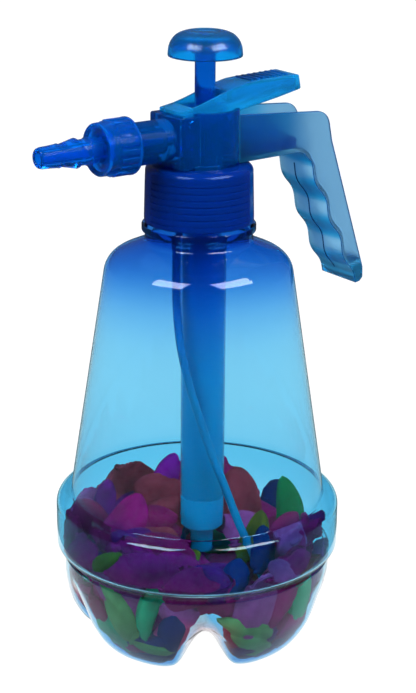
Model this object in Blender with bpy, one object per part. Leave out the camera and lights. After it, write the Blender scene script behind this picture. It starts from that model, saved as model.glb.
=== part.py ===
"""Hand-pumped pressure bottle for filling balloons: a clear bottle on a five-foot base, a screw-on pump
head with a thumb lever, a barbed nozzle, a pistol grip, a plunger pump inside, and limp balloons as contents.

+Z is up, the nozzle points along -X and the grip lies along +X. Sizes below are in millimetres and MM turns
them into metres. Places are measured from the bottle's axis, which BOTTLE_X sets in the object's own box.
"""

import math

import bmesh
import bpy
import numpy as np
from mathutils import Matrix, Vector

MM = 0.001
GAP = 0.3  # clearance between two pieces that touch

# Bottle
NECK_R = 22.4
NECK_BORE_R = 21.0
NECK_TOP_Z = 231.0
RING_R = 27.2
RING_TOP_Z = 209.8
NECK_FOOT_R = 25.7
NECK_FOOT_Z = 201.2
SHOULDER_R = 44.3
SHOULDER_Z = 193.0
SHOULDER_ROUND = 12.0
CONE_FOOT_R = 62.7
CONE_FOOT_Z = 73.5
BELT_R = 69.7
BELT_TOP_Z = 71.6
BELT_FOOT_Z = 47.0
SKIRT_R = 66.1
BASE_R = 65.9
BASE_Z = 38.5
HUB_Z = 10.0
WALL = 1.2
FEET = 5
FOOT_PHASE = -85.2  # degrees, the direction of one foot
FOOT_SPREAD = 0.676  # how far a foot reaches round before it falls off into the valley: less is wider
PAD_ROUND = 1.5  # how much a foot's pad has risen where it starts to fall off
PAD_ROUND_TOP_Z = 15.0
BOTTLE_SEGMENTS = 60
NECK_SEAM_Z = 203.5  # the bottle's wall is in five rings: neck, shoulder, body, belt and base
SHOULDER_SEAM_Z = 180.0
BELT_SEAM_Z = 76.0

# Pump axis, parallel to the bottle's
PUMP_X = 3.0

# Collar nut
COLLAR_R = 26.1
COLLAR_TOP_R = 25.5
COLLAR_FOOT_Z = 210.7
COLLAR_TOP_Z = 238.4
COLLAR_LID = 2.1
COLLAR_BORE_R = 23.2
GROOVES = 7
GROOVE_PITCH = 3.1
GROOVE_DEPTH = 0.35

# Head
FLANGE_Z = 233.2
FLANGE_R = 22.9
CUP_R = 16.4
CUP_BORE_R = 14.2
CUP_FLOOR_Z = 244.5
CUP_RIM_Z = 264.3
BOX_FRONT_X = -19.5
BOX_HALF_Y = 12.1
BOX_FOOT_Z = 239.0
BOX_TOP_Z = 263.0
POCKET_HALF_Y = 9.6
POCKET_FRONT_X = -17.2
SLEEVE_R = 6.4
SLEEVE_TOP_Z = 261.0
ROD_HOLE_R = 5.25
TONGUE_END_X = 48.4
TONGUE_TOP_Z = 246.4

# Nozzle line
NOZZLE_Z = 251.5
BARREL_R = 10.0
BARREL_END_X = -50.6
NUT_REAR_X = -40.0
NUT_RIB_X = -50.6
NUT_FRONT_X = -57.1
NUT_R = 12.2
NUT_REAR_R = 13.4
NUT_RIBS = 20
NUT_WALL = 2.5
TIP_END_X = -87.9
TIP_BORE_R = 2.6

# Valve
SEAT_X = -43.0
PIN_R = 1.5
PIN_REAR_X = -15.5
PIN_HEAD_X = -46.6
SPRING_TURNS = 4.5
SPRING_R = 3.4
SPRING_WIRE_R = 0.35

# Lever
PIVOT_X = -11.0
PIVOT_Z = 259.0
TRUNNION_R = 1.9
LEVER_HALF_Y = 8.5
LEVER_WALL = 1.4
OPENING_REAR_X = 10.0
PAD_RIBS = 7
PAD_RIB_PITCH = 3.4
PAD_RIB_START_X = 25.0

# Grip
GRIP_HALF_Y = 13.2
GRIP_WALL = 1.8
WEB = 2.2
ARM_FOOT_Z = 238.9
WAVE_START = (56.2, 234.0)
WAVE_END = (86.0, 171.5)
WAVE_PITCH = 22.4
WAVE_HEIGHT = 1.1
CREST = 1.0

# Plunger and pump
KNOB_R = 17.45
KNOB_RIM_Z = 288.4
KNOB_TOP_Z = 300.0
ROD_R = 4.85
CYLINDER_R = 10.8
CYLINDER_BORE_R = 9.4
CYLINDER_FOOT_Z = 69.8
PISTON_FOOT_Z = 74.8
PISTON_TOP_Z = 82.0
VALVE_CAP_Z = 53.2
NIPPLE_Z = 40.6

# Dip tube
TUBE_R = 2.1
TUBE_X = -12.9

# The nozzle's end and the grip's back bound the object, so the bottle's axis lies this far off its middle.
GRIP_BACK_X = 92.0
BOTTLE_X = -(TIP_END_X + GRIP_BACK_X) / 2


def clear_scene():
    for old in list(bpy.data.objects):
        bpy.data.objects.remove(old, do_unlink=True)


def plastic(name, colour, roughness, transmission=0.0, metallic=0.0):
    material = bpy.data.materials.new(name)
    material.use_nodes = True
    shader = material.node_tree.nodes["Principled BSDF"]
    shader.inputs["Base Color"].default_value = (*colour, 1.0)
    shader.inputs["Roughness"].default_value = roughness
    shader.inputs["Metallic"].default_value = metallic
    shader.inputs["Transmission Weight"].default_value = transmission
    material.diffuse_color = (*colour, 1.0)
    return material


def add_object(name, mesh, parent, material=None):
    obj = bpy.data.objects.new(name, mesh)
    bpy.context.scene.collection.objects.link(obj)
    obj.parent = parent
    if material:
        mesh.materials.append(material)
        mesh.shade_smooth()
        mesh.set_sharp_from_angle(angle=math.radians(35))
    return obj


def finish_mesh(name, bm):
    bmesh.ops.recalc_face_normals(bm, faces=bm.faces)
    mesh = bpy.data.meshes.new(name)
    bm.to_mesh(mesh)
    bm.free()
    return mesh


def rounded(corners, steps=3):
    """An outline through corners (a, b, radius), each corner with a radius turned into an arc."""
    points = []
    for i, (a, b, radius) in enumerate(corners):
        if radius <= 0 or i in (0, len(corners) - 1):
            points.append((a, b))
            continue
        here = Vector((a, b))
        back = (Vector(corners[i - 1][:2]) - here).normalized()
        on = (Vector(corners[i + 1][:2]) - here).normalized()
        half = back.angle(on) / 2
        reach = radius / math.tan(half)
        centre = here + (back + on).normalized() * (radius / math.sin(half))
        start = here + back * reach - centre
        end = here + on * reach - centre
        turn = start.angle_signed(end)
        for k in range(steps + 1):
            arm = Matrix.Rotation(-turn * k / steps, 2) @ start
            points.append(tuple(centre + arm))
    return points


def turned_mesh(name, profile, segments):
    """A closed outline of (radius, height) turned about Z. Points on the axis become one vertex."""
    bm = bmesh.new()
    rings = []
    for radius, height in profile:
        if radius < 1e-6:
            rings.append([bm.verts.new((0, 0, height * MM))])
            continue
        ring = []
        for k in range(segments):
            angle = 2 * math.pi * k / segments
            place = Vector((radius * math.cos(angle), radius * math.sin(angle), height)) * MM
            ring.append(bm.verts.new(place))
        rings.append(ring)
    for first, second in zip(rings, rings[1:] + rings[:1]):
        for k in range(segments):
            after = (k + 1) % segments
            corners = [first[k % len(first)], first[after % len(first)]]
            corners += [second[after % len(second)], second[k % len(second)]]
            face = list(dict.fromkeys(corners))
            if len(face) > 2:
                bm.faces.new(face)
    return finish_mesh(name, bm)


def turned(name, profile, segments, parent, material=None, x=0.0):
    obj = add_object(name, turned_mesh(name, profile, segments), parent, material)
    obj.location.x = x * MM
    return obj


def turned_on_nozzle(name, profile, segments, parent, material=None):
    """Turned about the nozzle's axis: each profile point is (radius, x)."""
    mesh = turned_mesh(name, profile, segments)
    mesh.transform(Matrix.Translation((0, 0, NOZZLE_Z * MM)) @ Matrix.Rotation(math.radians(90), 4, "Y"))
    return add_object(name, mesh, parent, material)


def slab_mesh(name, outline, stations):
    """A side outline of (x, z) points carried across Y through the stations (y, shift of each point)."""
    bm = bmesh.new()
    layers = []
    for y, shifts in stations:
        layer = []
        for k, (x, z) in enumerate(outline):
            dx, dz = shifts.get(k, (0, 0))
            layer.append(bm.verts.new(((x + dx) * MM, y * MM, (z + dz) * MM)))
        layers.append(layer)
    count = len(outline)
    for first, second in zip(layers, layers[1:]):
        for k in range(count):
            after = (k + 1) % count
            bm.faces.new((first[k], first[after], second[after], second[k]))
    bm.faces.new(layers[0][::-1])
    bm.faces.new(layers[-1])
    return finish_mesh(name, bm)


def slab(name, outline, half_y, parent, material=None):
    mesh = slab_mesh(name, outline, [(-half_y, {}), (half_y, {})])
    return add_object(name, mesh, parent, material)


def block(name, low, high, parent):
    outline = [(low[0], low[2]), (high[0], low[2]), (high[0], high[2]), (low[0], high[2])]
    mesh = slab_mesh(name, outline, [(low[1], {}), (high[1], {})])
    return add_object(name, mesh, parent)


def rod_mesh(name, start, end, radius, segments=16):
    """A plain round bar from start to end."""
    along = Vector(end) - Vector(start)
    bm = bmesh.new()
    turn = along.to_track_quat("Z", "Y").to_matrix().to_4x4()
    bmesh.ops.create_cone(
        bm,
        cap_ends=True,
        segments=segments,
        radius1=radius * MM,
        radius2=radius * MM,
        depth=along.length * MM,
        matrix=Matrix.Translation((Vector(start) + Vector(end)) / 2 * MM) @ turn,
    )
    return finish_mesh(name, bm)


def joined(name, meshes):
    bm = bmesh.new()
    for mesh in meshes:
        bm.from_mesh(mesh)
    return finish_mesh(name, bm)


def combine(obj, tool, operation, solver="EXACT"):
    """Adds or cuts a helper shape with a Boolean modifier, and leaves the helper out of renders."""
    tool.hide_render = True
    tool.display_type = "WIRE"
    modifier = obj.modifiers.new(f"{operation.lower()}_{tool.name}", "BOOLEAN")
    modifier.operation = operation
    modifier.solver = solver
    modifier.object = tool


def base_point(foot, valley, angle):
    """A point of the five-foot base: the foot's outline in its direction, the valley's between two."""
    turn = math.radians(angle - FOOT_PHASE)
    nearness = abs(math.cos(FEET * turn / 2))
    t = min(1.0, nearness / FOOT_SPREAD)
    share = t * t * (3 - 2 * t)
    side = (1 - nearness) / (1 - FOOT_SPREAD)
    lift = PAD_ROUND * side**2 * max(0.0, 1 - foot[1] / PAD_ROUND_TOP_Z)
    radius = valley[0] + (foot[0] - valley[0]) * share
    height = valley[1] + (foot[1] + lift - valley[1]) * share
    return radius, height


def cone_point(height):
    """A point of the tapered body's outer face at this height."""
    share = (height - CONE_FOOT_Z) / (SHOULDER_Z - CONE_FOOT_Z)
    return CONE_FOOT_R + (SHOULDER_R - CONE_FOOT_R) * share, height, 0


def bottle_rows():
    """Rows of (radius, height) for each direction, from below the neck ring down to the base's hub."""
    body = rounded(
        [
            (NECK_FOOT_R, 205.4, 0),
            (NECK_FOOT_R, NECK_SEAM_Z, 0),
            (NECK_FOOT_R, NECK_SEAM_Z - GAP, 0),
            (NECK_FOOT_R, NECK_FOOT_Z, 2.0),
            (SHOULDER_R, SHOULDER_Z, SHOULDER_ROUND),
            cone_point(SHOULDER_SEAM_Z),
            cone_point(SHOULDER_SEAM_Z - GAP),
            cone_point(BELT_SEAM_Z),
            cone_point(BELT_SEAM_Z - GAP),
            (CONE_FOOT_R, CONE_FOOT_Z, 0.9),
            (BELT_R, BELT_TOP_Z, 5.0),
            (BELT_R, BELT_FOOT_Z, 3.4),
            (SKIRT_R, BELT_FOOT_Z - 1.0, 0),
            (SKIRT_R, 44.4, 0),
            (SKIRT_R - 0.8, 43.0, 0),
            (BASE_R + 0.1, 41.6, 0),
            (BASE_R, BASE_Z, 0),
            (BASE_R, BASE_Z - GAP, 0),
        ],
        steps=3,
    )
    feet = [(65.6, 31.0), (64.4, 23.0), (62.0, 15.0), (58.4, 7.5), (54.6, 2.4), (51.0, 0.0), (45.4, 0.0)]
    feet += [(40.5, 1.9), (31.0, 6.2), (17.0, 9.2)]
    valleys = [(65.5, 34.2), (64.0, 30.0), (61.4, 26.8), (57.6, 24.0), (53.4, 21.6), (49.6, 19.8)]
    valleys += [(44.6, 17.6), (39.0, 15.4), (29.5, 12.8), (16.5, 10.8)]
    rows = []
    for radius, height in body:
        rows.append([(radius, height)] * BOTTLE_SEGMENTS)
    for foot, valley in zip(feet, valleys):
        angles = [FOOT_PHASE + 360 * k / BOTTLE_SEGMENTS for k in range(BOTTLE_SEGMENTS)]
        rows.append([base_point(foot, valley, angle) for angle in angles])
    return rows


def bottle_grid(rows):
    angles = np.radians(FOOT_PHASE + 360 * np.arange(BOTTLE_SEGMENTS) / BOTTLE_SEGMENTS)
    table = np.array(rows)
    radius, height = table[..., 0], table[..., 1]
    return np.stack([radius * np.cos(angles), radius * np.sin(angles), height], axis=-1)


def inner_grid(outer):
    """The inner face: each outer point moved in by the wall's thickness, square to the surface."""
    down = np.gradient(outer, axis=0)
    around = np.roll(outer, -1, axis=1) - np.roll(outer, 1, axis=1)
    normal = np.cross(down, around)
    normal /= np.linalg.norm(normal, axis=-1, keepdims=True)
    return outer - normal * WALL


def wall_ring(name, outside, inside, parent, material):
    """One ring of the bottle's wall. A ring that ends at the base's hub is closed there."""
    bm = bmesh.new()
    rows = []
    for row in list(inside[::-1]) + list(outside):
        rows.append([bm.verts.new(point * MM) for point in row])
    based = outside[-1][0][2] < HUB_Z
    pairs = list(zip(rows, rows[1:]))
    if not based:
        pairs.append((rows[-1], rows[0]))
    for first, second in pairs:
        for k in range(BOTTLE_SEGMENTS):
            after = (k + 1) % BOTTLE_SEGMENTS
            bm.faces.new((first[k], first[after], second[after], second[k]))
    if based:
        for row, height in ((rows[-1], HUB_Z), (rows[0], HUB_Z + WALL)):
            hub = bm.verts.new((0, 0, height * MM))
            for k in range(BOTTLE_SEGMENTS):
                bm.faces.new((row[k], row[(k + 1) % BOTTLE_SEGMENTS], hub))
    add_object(name, finish_mesh(name, bm), parent, material)


def make_bottle(parent, material):
    outer = bottle_grid(bottle_rows())
    inner = inner_grid(outer)
    heights = outer[:, 0, 2]
    seams = []
    for height in (NECK_SEAM_Z, SHOULDER_SEAM_Z, BELT_SEAM_Z, BASE_Z):
        seams.append(int(np.argmin(np.abs(heights - height))) + 1)
    ring = [(NECK_R, NECK_TOP_Z), (NECK_R, RING_TOP_Z), (RING_R - 0.9, RING_TOP_Z - 0.2)]
    ring += [(RING_R, RING_TOP_Z - 1.2), (RING_R, 206.6), (RING_R - 0.8, 205.9)]
    bore = [(NECK_BORE_R, NECK_TOP_Z), (NECK_BORE_R, 206.0)]
    finish = bottle_grid([[point] * BOTTLE_SEGMENTS for point in ring])
    mouth = bottle_grid([[point] * BOTTLE_SEGMENTS for point in bore])
    neck_outside = np.concatenate([finish, outer[: seams[0]]])
    neck_inside = np.concatenate([mouth, inner[1 : seams[0]]])
    wall_ring("bottle_neck", neck_outside, neck_inside, parent, material)
    for name, first, last in (
        ("bottle_shoulder", seams[0], seams[1]),
        ("bottle", seams[1], seams[2]),
        ("bottle_belt", seams[2], seams[3]),
        ("bottle_base", seams[3], len(outer)),
    ):
        wall_ring(name, outer[first:last], inner[first:last], parent, material)


def make_collar(parent, material):
    lower = COLLAR_FOOT_Z
    profile = [(COLLAR_BORE_R, lower), (COLLAR_R, lower)]
    for k in range(GROOVES):
        height = lower + GROOVE_PITCH * (k + 0.75)
        radius = COLLAR_R + (COLLAR_TOP_R - COLLAR_R) * k / GROOVES
        profile += [(radius, height), (radius - GROOVE_DEPTH, height + 0.4)]
    top = [(COLLAR_TOP_R, 233.6, 0), (COLLAR_TOP_R, COLLAR_TOP_Z, 3.2), (CUP_R + 0.7, COLLAR_TOP_Z, 0)]
    shoulder = rounded(top)
    lid = COLLAR_TOP_Z - COLLAR_LID
    profile += shoulder + [(CUP_R + 0.7, lid), (COLLAR_BORE_R, lid)]
    turned("collar_nut", profile, 40, parent, material)


def make_head(parent, material):
    foot = [(0, FLANGE_Z), (FLANGE_R, FLANGE_Z), (FLANGE_R, 236.0)]
    foot += [(CUP_R, 236.0), (CUP_R, 240.0), (0, 240.0)]
    head = turned("pump_head", foot, 40, parent, material)
    cup = [(0, 239.2), (CUP_R, 239.2), (CUP_R, CUP_RIM_Z), (0, CUP_RIM_Z)]
    combine(head, turned("head_cup", cup, 40, parent, x=PUMP_X), "UNION")
    outline = rounded(
        [
            (2.0, BOX_FOOT_Z, 0),
            (BOX_FRONT_X, BOX_FOOT_Z, 1.0),
            (BOX_FRONT_X, BOX_TOP_Z, 1.0),
            (2.0, BOX_TOP_Z, 0),
        ],
        steps=2,
    )
    combine(head, slab("head_box", outline, BOX_HALF_Y, parent), "UNION")
    barrel = rod_mesh("head_barrel", (BARREL_END_X, 0, NOZZLE_Z), (-17.9, 0, NOZZLE_Z), BARREL_R, 36)
    combine(head, add_object("head_barrel", barrel, parent), "UNION")
    tongue_half = GRIP_HALF_Y - GRIP_WALL - GAP
    tongue_foot = ARM_FOOT_Z + WEB + 0.6 + GAP
    tongue_end = (TONGUE_END_X, tongue_half, TONGUE_TOP_Z)
    tongue = block("head_tongue", (12.0, -tongue_half, tongue_foot), tongue_end, parent)
    combine(head, tongue, "UNION")
    low = (POCKET_FRONT_X, -POCKET_HALF_Y, CUP_FLOOR_Z + 0.4)
    high = (PUMP_X - SLEEVE_R - 1.3, POCKET_HALF_Y, 272.0)
    combine(head, block("box_pocket", low, high, parent), "DIFFERENCE", "MANIFOLD")
    cavity = [(SLEEVE_R, CUP_FLOOR_Z), (SLEEVE_R, SLEEVE_TOP_Z), (0, SLEEVE_TOP_Z)]
    cavity += [(0, 270.0), (CUP_BORE_R, 270.0), (CUP_BORE_R, CUP_FLOOR_Z)]
    combine(head, turned("cup_cavity", cavity, 40, parent, x=PUMP_X), "DIFFERENCE", "MANIFOLD")
    slot = block("rear_slot", (PUMP_X + 8.0, -9.4, 254.0), (PUMP_X + CUP_R + 2, 9.4, 270.0), parent)
    combine(head, slot, "DIFFERENCE", "MANIFOLD")
    bore = [(0, -60.0), (5.5, -60.0), (5.5, SEAT_X), (3.4, SEAT_X), (3.4, -40.5)]
    bore += [(4.5, -39.4), (4.5, -21.6), (2.1, -21.6), (2.1, -16.0), (0, -16.0)]
    combine(head, turned_on_nozzle("barrel_bore", bore, 24, parent), "DIFFERENCE")
    pivot = [(PIVOT_X, y, PIVOT_Z) for y in (-10.6, 10.6)]
    holes = [
        rod_mesh("rod_hole", (PUMP_X, 0, 228), (PUMP_X, 0, 268), ROD_HOLE_R, 32),
        rod_mesh("tube_socket", (TUBE_X, 0, 228), (TUBE_X, 0, 241), TUBE_R + GAP, 16),
        rod_mesh("trunnion_hole", pivot[0], pivot[1], TRUNNION_R + GAP, 20),
    ]
    combine(head, add_object("head_holes", joined("head_holes", holes), parent), "DIFFERENCE")


def wave_point(along, lift=0.0):
    """A point of the finger side of the grip, this far along it, with its finger waves."""
    start = Vector(WAVE_START)
    direction = (Vector(WAVE_END) - start).normalized()
    across = Vector((-direction.y, direction.x))
    height = lift - 0.35 + WAVE_HEIGHT * math.cos(2 * math.pi * along / WAVE_PITCH)
    return tuple(start + direction * along + across * height)


def grip_wave(lift=0.0):
    length = (Vector(WAVE_END) - Vector(WAVE_START)).length
    count = 18
    return [wave_point(length * k / count, lift) for k in range(count + 1)]


def make_handle(parent, material):
    back = [(89.9, 168.6, 1.2), (GRIP_BACK_X, 170.5, 1.8), (GRIP_BACK_X - 0.2, 176.0, 2.0)]
    back += [(69.6, 243.0, 4.0), (66.6, 257.7, 8.0), (13.0, 261.8, 0)]
    rear = rounded([(87.3, 168.2, 0)] + back)
    wave = grip_wave()
    front = [(13.0, ARM_FOOT_Z), (47.0, ARM_FOOT_Z + 0.6), (51.4, ARM_FOOT_Z - 0.1), (54.3, 236.6)]
    outline = front + wave + rear
    crest = {}
    for k in range(len(front), len(front) + len(wave)):
        crest[k] = (-CREST * 0.9, -CREST * 0.43)
    stations = [(-GRIP_HALF_Y, {}), (0.0, crest), (GRIP_HALF_Y, {})]
    handle = add_object("handle", slab_mesh("handle", outline, stations), parent, material)
    inner_wave = grip_wave(WEB)[1:-3]
    inside = [(10.0, ARM_FOOT_Z + WEB), (47.0, ARM_FOOT_Z + 0.6 + WEB), (52.6, 240.7), (56.0, 238.2)]
    inside += inner_wave + [(84.6, 178.6), (96.0, 182.0), (96.0, 270.0), (10.0, 270.0)]
    channel = slab("handle_channel", inside, GRIP_HALF_Y - GRIP_WALL, parent)
    combine(handle, channel, "DIFFERENCE")
    seat = rod_mesh("handle_seat", (PUMP_X, 0, 230), (PUMP_X, 0, 270), CUP_R + GAP, 40)
    combine(handle, add_object("handle_seat", seat, parent), "DIFFERENCE")


def make_lever(parent, material):
    top = [(-16.7, 265.3), (-9.2, 266.6), (-2.9, 268.2), (12.9, 273.2), (20.7, 274.9), (26.0, 275.3)]
    lower = [(51.6, 276.2), (53.0, 269.3), (40.0, 266.6), (27.0, 264.3), (18.7, 263.0), (9.0, 259.6)]
    lower += [(-4.0, 254.6), (-13.2, 247.4), (-15.2, 247.4), (-15.2, 263.6), (-16.7, 263.6)]
    lever = slab("trigger_lever", top + lower, LEVER_HALF_Y, parent, material)
    half = LEVER_HALF_Y - LEVER_WALL
    front_hollow = [(-13.6, 240.0), (10.0, 240.0), (10.0, 267.6), (-13.6, 263.6)]
    combine(lever, slab("lever_front_hollow", front_hollow, half, parent), "DIFFERENCE")
    rear_hollow = [(9.0, 240.0), (51.0, 240.0), (50.2, 274.6), (26.0, 273.8), (21.0, 273.4), (12.9, 271.7)]
    rear_hollow += [(12.9, 267.6), (9.0, 267.6)]
    combine(lever, slab("lever_rear_hollow", rear_hollow, half, parent), "DIFFERENCE")
    opening = block("lever_opening", (-9.2, -half, 255.0), (OPENING_REAR_X, half, 280.0), parent)
    combine(lever, opening, "DIFFERENCE")
    trunnions = []
    for side in (-1, 1):
        start = (PIVOT_X, side * 7.6, PIVOT_Z)
        trunnions.append(rod_mesh("trunnion", start, (PIVOT_X, side * 10.0, PIVOT_Z), TRUNNION_R, 20))
    combine(lever, add_object("lever_trunnions", joined("lever_trunnions", trunnions), parent), "UNION")
    ribs = []
    for k in range(PAD_RIBS):
        x = PAD_RIB_START_X + PAD_RIB_PITCH * k
        top_z = 275.3 + (x - 26.0) * 0.035
        outline = [(x, top_z - 0.6), (x + 1.7, top_z - 0.6)]
        outline += [(x + 1.4, top_z + 0.8), (x + 0.3, top_z + 0.8)]
        ribs.append(slab_mesh("pad_rib", outline, [(-6.2, {}), (6.2, {})]))
    combine(lever, add_object("lever_pad_ribs", joined("lever_pad_ribs", ribs), parent), "UNION")


def make_nozzle(parent, blue, rubber):
    segments = 36
    bore = BARREL_R + 0.35
    wall_x = NUT_FRONT_X + NUT_WALL
    nut = [(6.3, NUT_FRONT_X + 1.0), (NUT_R - 1.6, NUT_FRONT_X), (NUT_R - 0.4, NUT_FRONT_X)]
    nut += [(NUT_R, NUT_FRONT_X + 0.6), (NUT_R + 0.2, NUT_RIB_X), (NUT_R + 0.4, -41.6)]
    nut += [(NUT_REAR_R, -41.2), (NUT_REAR_R, NUT_REAR_X), (bore, NUT_REAR_X)]
    nut += [(bore, wall_x), (6.3, wall_x)]
    body = turned_on_nozzle("nozzle_nut", nut, segments, parent, blue)
    ribs = []
    for k in range(NUT_RIBS):
        turn = Matrix.Rotation(2 * math.pi * k / NUT_RIBS, 4, "X")
        outline = [(NUT_RIB_X, 11.9), (-41.4, 11.9), (-41.4, 13.2), (NUT_RIB_X, 13.2)]
        rib = slab_mesh("nut_rib", outline, [(-1.1, {}), (1.1, {})])
        rib.transform(Matrix.Translation((0, 0, NOZZLE_Z * MM)) @ turn)
        ribs.append(rib)
    combine(body, add_object("nut_ribs", joined("nut_ribs", ribs), parent), "UNION")
    gasket_x = BARREL_END_X - GAP
    washer = [(4.9, gasket_x), (9.4, gasket_x), (9.4, gasket_x - 1.2), (4.9, gasket_x - 1.2)]
    turned_on_nozzle("nozzle_gasket", washer, 28, parent, rubber)
    flange_x = gasket_x - 1.2 - GAP
    tip = [(TIP_BORE_R, flange_x), (9.6, flange_x), (9.6, wall_x + GAP), (5.9, wall_x + GAP), (5.9, -60.6)]
    tip += [(6.6, -60.8), (6.6, -62.4), (5.9, -62.8), (5.9, -66.8), (6.93, -68.4)]
    tip += [(5.1, -76.2), (5.0, -76.6), (5.56, -77.6), (4.85, -86.6)]
    tip += [(4.2, TIP_END_X), (TIP_BORE_R, TIP_END_X)]
    turned_on_nozzle("nozzle_tip", tip, 32, parent, blue)


def make_valve(parent, plastic_white, rubber, steel):
    pin = [(0, PIN_REAR_X), (PIN_R, PIN_REAR_X), (PIN_R, PIN_HEAD_X + 1.4), (4.2, PIN_HEAD_X + 1.4)]
    pin += [(4.2, PIN_HEAD_X), (0, PIN_HEAD_X)]
    turned_on_nozzle("valve_pin", pin, 20, parent, plastic_white)
    seal = [(PIN_R + GAP, SEAT_X - GAP), (4.7, SEAT_X - GAP), (4.7, -44.9), (PIN_R + GAP, -44.9)]
    turned_on_nozzle("valve_seal", seal, 24, parent, rubber)
    start = PIN_HEAD_X - GAP - SPRING_WIRE_R
    end = BARREL_END_X - 1.2 - GAP + SPRING_WIRE_R
    count = int(SPRING_TURNS * 12)
    curve = bpy.data.curves.new("valve_spring", "CURVE")
    curve.dimensions = "3D"
    curve.bevel_depth = SPRING_WIRE_R * MM
    curve.bevel_resolution = 1
    curve.use_fill_caps = True
    curve.materials.append(steel)
    coil = curve.splines.new("POLY")
    coil.points.add(count)
    for k, point in enumerate(coil.points):
        angle = 2 * math.pi * k / 12
        x = start + (end - start) * k / count
        y = SPRING_R * math.cos(angle)
        z = NOZZLE_Z + SPRING_R * math.sin(angle)
        point.co = (x * MM, y * MM, z * MM, 1)
    spring = bpy.data.objects.new("valve_spring", curve)
    bpy.context.scene.collection.objects.link(spring)
    spring.parent = parent


def make_plunger(parent, blue, rubber):
    outer = [(0, 299.3), (5.0, 299.6), (7.6, KNOB_TOP_Z), (11.0, 299.3), (13.9, 297.8), (16.0, 295.3)]
    outer += [(17.1, 292.4), (KNOB_R, KNOB_RIM_Z + 0.4), (KNOB_R - 0.4, KNOB_RIM_Z)]
    boss = ROD_R + GAP
    inner = [(KNOB_R - 1.6, KNOB_RIM_Z), (15.4, 292.2), (14.4, 294.4), (12.6, 296.3), (10.0, 297.4)]
    inner += [(6.6, 297.5), (6.6, 290.0), (boss, 290.0), (boss, 297.6), (0, 297.6)]
    turned("plunger_knob", outer + inner, 40, parent, blue, x=PUMP_X)
    rod_end = PISTON_TOP_Z + GAP
    rod = [(0, rod_end), (ROD_R, rod_end), (ROD_R, 297.3), (0, 297.3)]
    turned("plunger_rod", rod, 32, parent, blue, x=PUMP_X)
    groove_z = (PISTON_FOOT_Z + PISTON_TOP_Z) / 2
    piston = [(0, PISTON_FOOT_Z), (8.9, PISTON_FOOT_Z), (8.9, groove_z - 1.3), (7.3, groove_z - 1.3)]
    piston += [(7.3, groove_z + 1.3), (8.9, groove_z + 1.3), (8.9, PISTON_TOP_Z), (0, PISTON_TOP_Z)]
    turned("piston", piston, 28, parent, blue, x=PUMP_X)
    ring = [(7.5, groove_z - 1.0), (9.1, groove_z - 1.0), (9.1, groove_z + 1.0), (7.5, groove_z + 1.0)]
    turned("piston_ring", ring, 28, parent, rubber, x=PUMP_X)


def make_pump(parent, blue, rubber):
    top = FLANGE_Z - GAP
    tube = [(CYLINDER_BORE_R, CYLINDER_FOOT_Z), (CYLINDER_R, CYLINDER_FOOT_Z), (CYLINDER_R, top - 2.5)]
    tube += [(12.6, top - 2.5), (12.6, top), (CYLINDER_BORE_R, top)]
    turned("pump_cylinder", tube, 32, parent, blue, x=PUMP_X)
    bush = [(ROD_HOLE_R, 222.0), (9.1, 222.0), (9.1, top), (ROD_HOLE_R, top)]
    turned("cylinder_bush", bush, 32, parent, blue, x=PUMP_X)
    cap_top = CYLINDER_FOOT_Z - GAP
    cap = [(3.0, NIPPLE_Z), (5.4, NIPPLE_Z), (5.8, VALVE_CAP_Z), (9.6, VALVE_CAP_Z)]
    cap += [(10.7, VALVE_CAP_Z + 1.2), (10.8, cap_top), (9.1, cap_top), (9.1, 74.2)]
    cap += [(7.2, 74.2), (7.2, 57.0), (3.0, 57.0)]
    turned("check_valve_cap", cap, 32, parent, blue, x=PUMP_X)
    disc = [(0, 57.3), (6.2, 57.3), (6.2, 58.8), (2.0, 58.8), (1.4, 61.5), (0, 61.5)]
    turned("check_valve_disc", disc, 20, parent, rubber, x=PUMP_X)
    washer = [(16.2, 231.3), (22.2, 231.3), (22.2, 232.9), (16.2, 232.9)]
    turned("neck_gasket", washer, 36, parent, rubber)


def make_dip_tube(parent, material):
    """A stiff tube: straight below its socket, then bent past the cylinder to the front of the base."""
    route = [(TUBE_X, 0, 240.4), (TUBE_X, 0, 215), (TUBE_X, 0, 190), (-13.6, -1.4, 170)]
    route += [(-13.6, -5.2, 150), (-10.5, -9.8, 128), (-3.2, -16.6, 97.5), (0.7, -22.7, 80.7)]
    route += [(3.7, -29.7, 64.2), (6.7, -36.8, 50.7), (8.8, -43.3, 38.2)]
    points = [Vector(point) * MM for point in route]
    curve = bpy.data.curves.new("dip_tube", "CURVE")
    curve.dimensions = "3D"
    curve.bevel_depth = TUBE_R * MM
    curve.bevel_resolution = 2
    curve.use_fill_caps = True
    curve.materials.append(material)
    spline = curve.splines.new("POLY")
    smooth = []
    for k in range(len(points) - 1):
        before = points[max(k - 1, 0)]
        after = points[min(k + 2, len(points) - 1)]
        start, end = points[k], points[k + 1]
        for step in range(3):
            t = step / 3
            bend = 2 * start + (end - before) * t + (2 * before - 5 * start + 4 * end - after) * t**2
            smooth.append((bend + (3 * start - before - 3 * end + after) * t**3) / 2)
    smooth.append(points[-1])
    spline.points.add(len(smooth) - 1)
    for point, place in zip(spline.points, smooth):
        point.co = (*place, 1)
    tube = bpy.data.objects.new("dip_tube", curve)
    bpy.context.scene.collection.objects.link(tube)
    tube.parent = parent


def balloon_mesh(name, radial, across, tall):
    """A limp, flat balloon: a rounded body that narrows to its neck along X."""
    bm = bmesh.new()
    bmesh.ops.create_icosphere(bm, subdivisions=2, radius=1.0)
    for vertex in bm.verts:
        narrowing = 1.0 - 0.35 * max(vertex.co.x, 0.0)
        x, y, z = vertex.co
        vertex.co = (x * radial * MM, y * across * narrowing * MM, z * tall * MM)
    return finish_mesh(name, bm)


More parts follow.
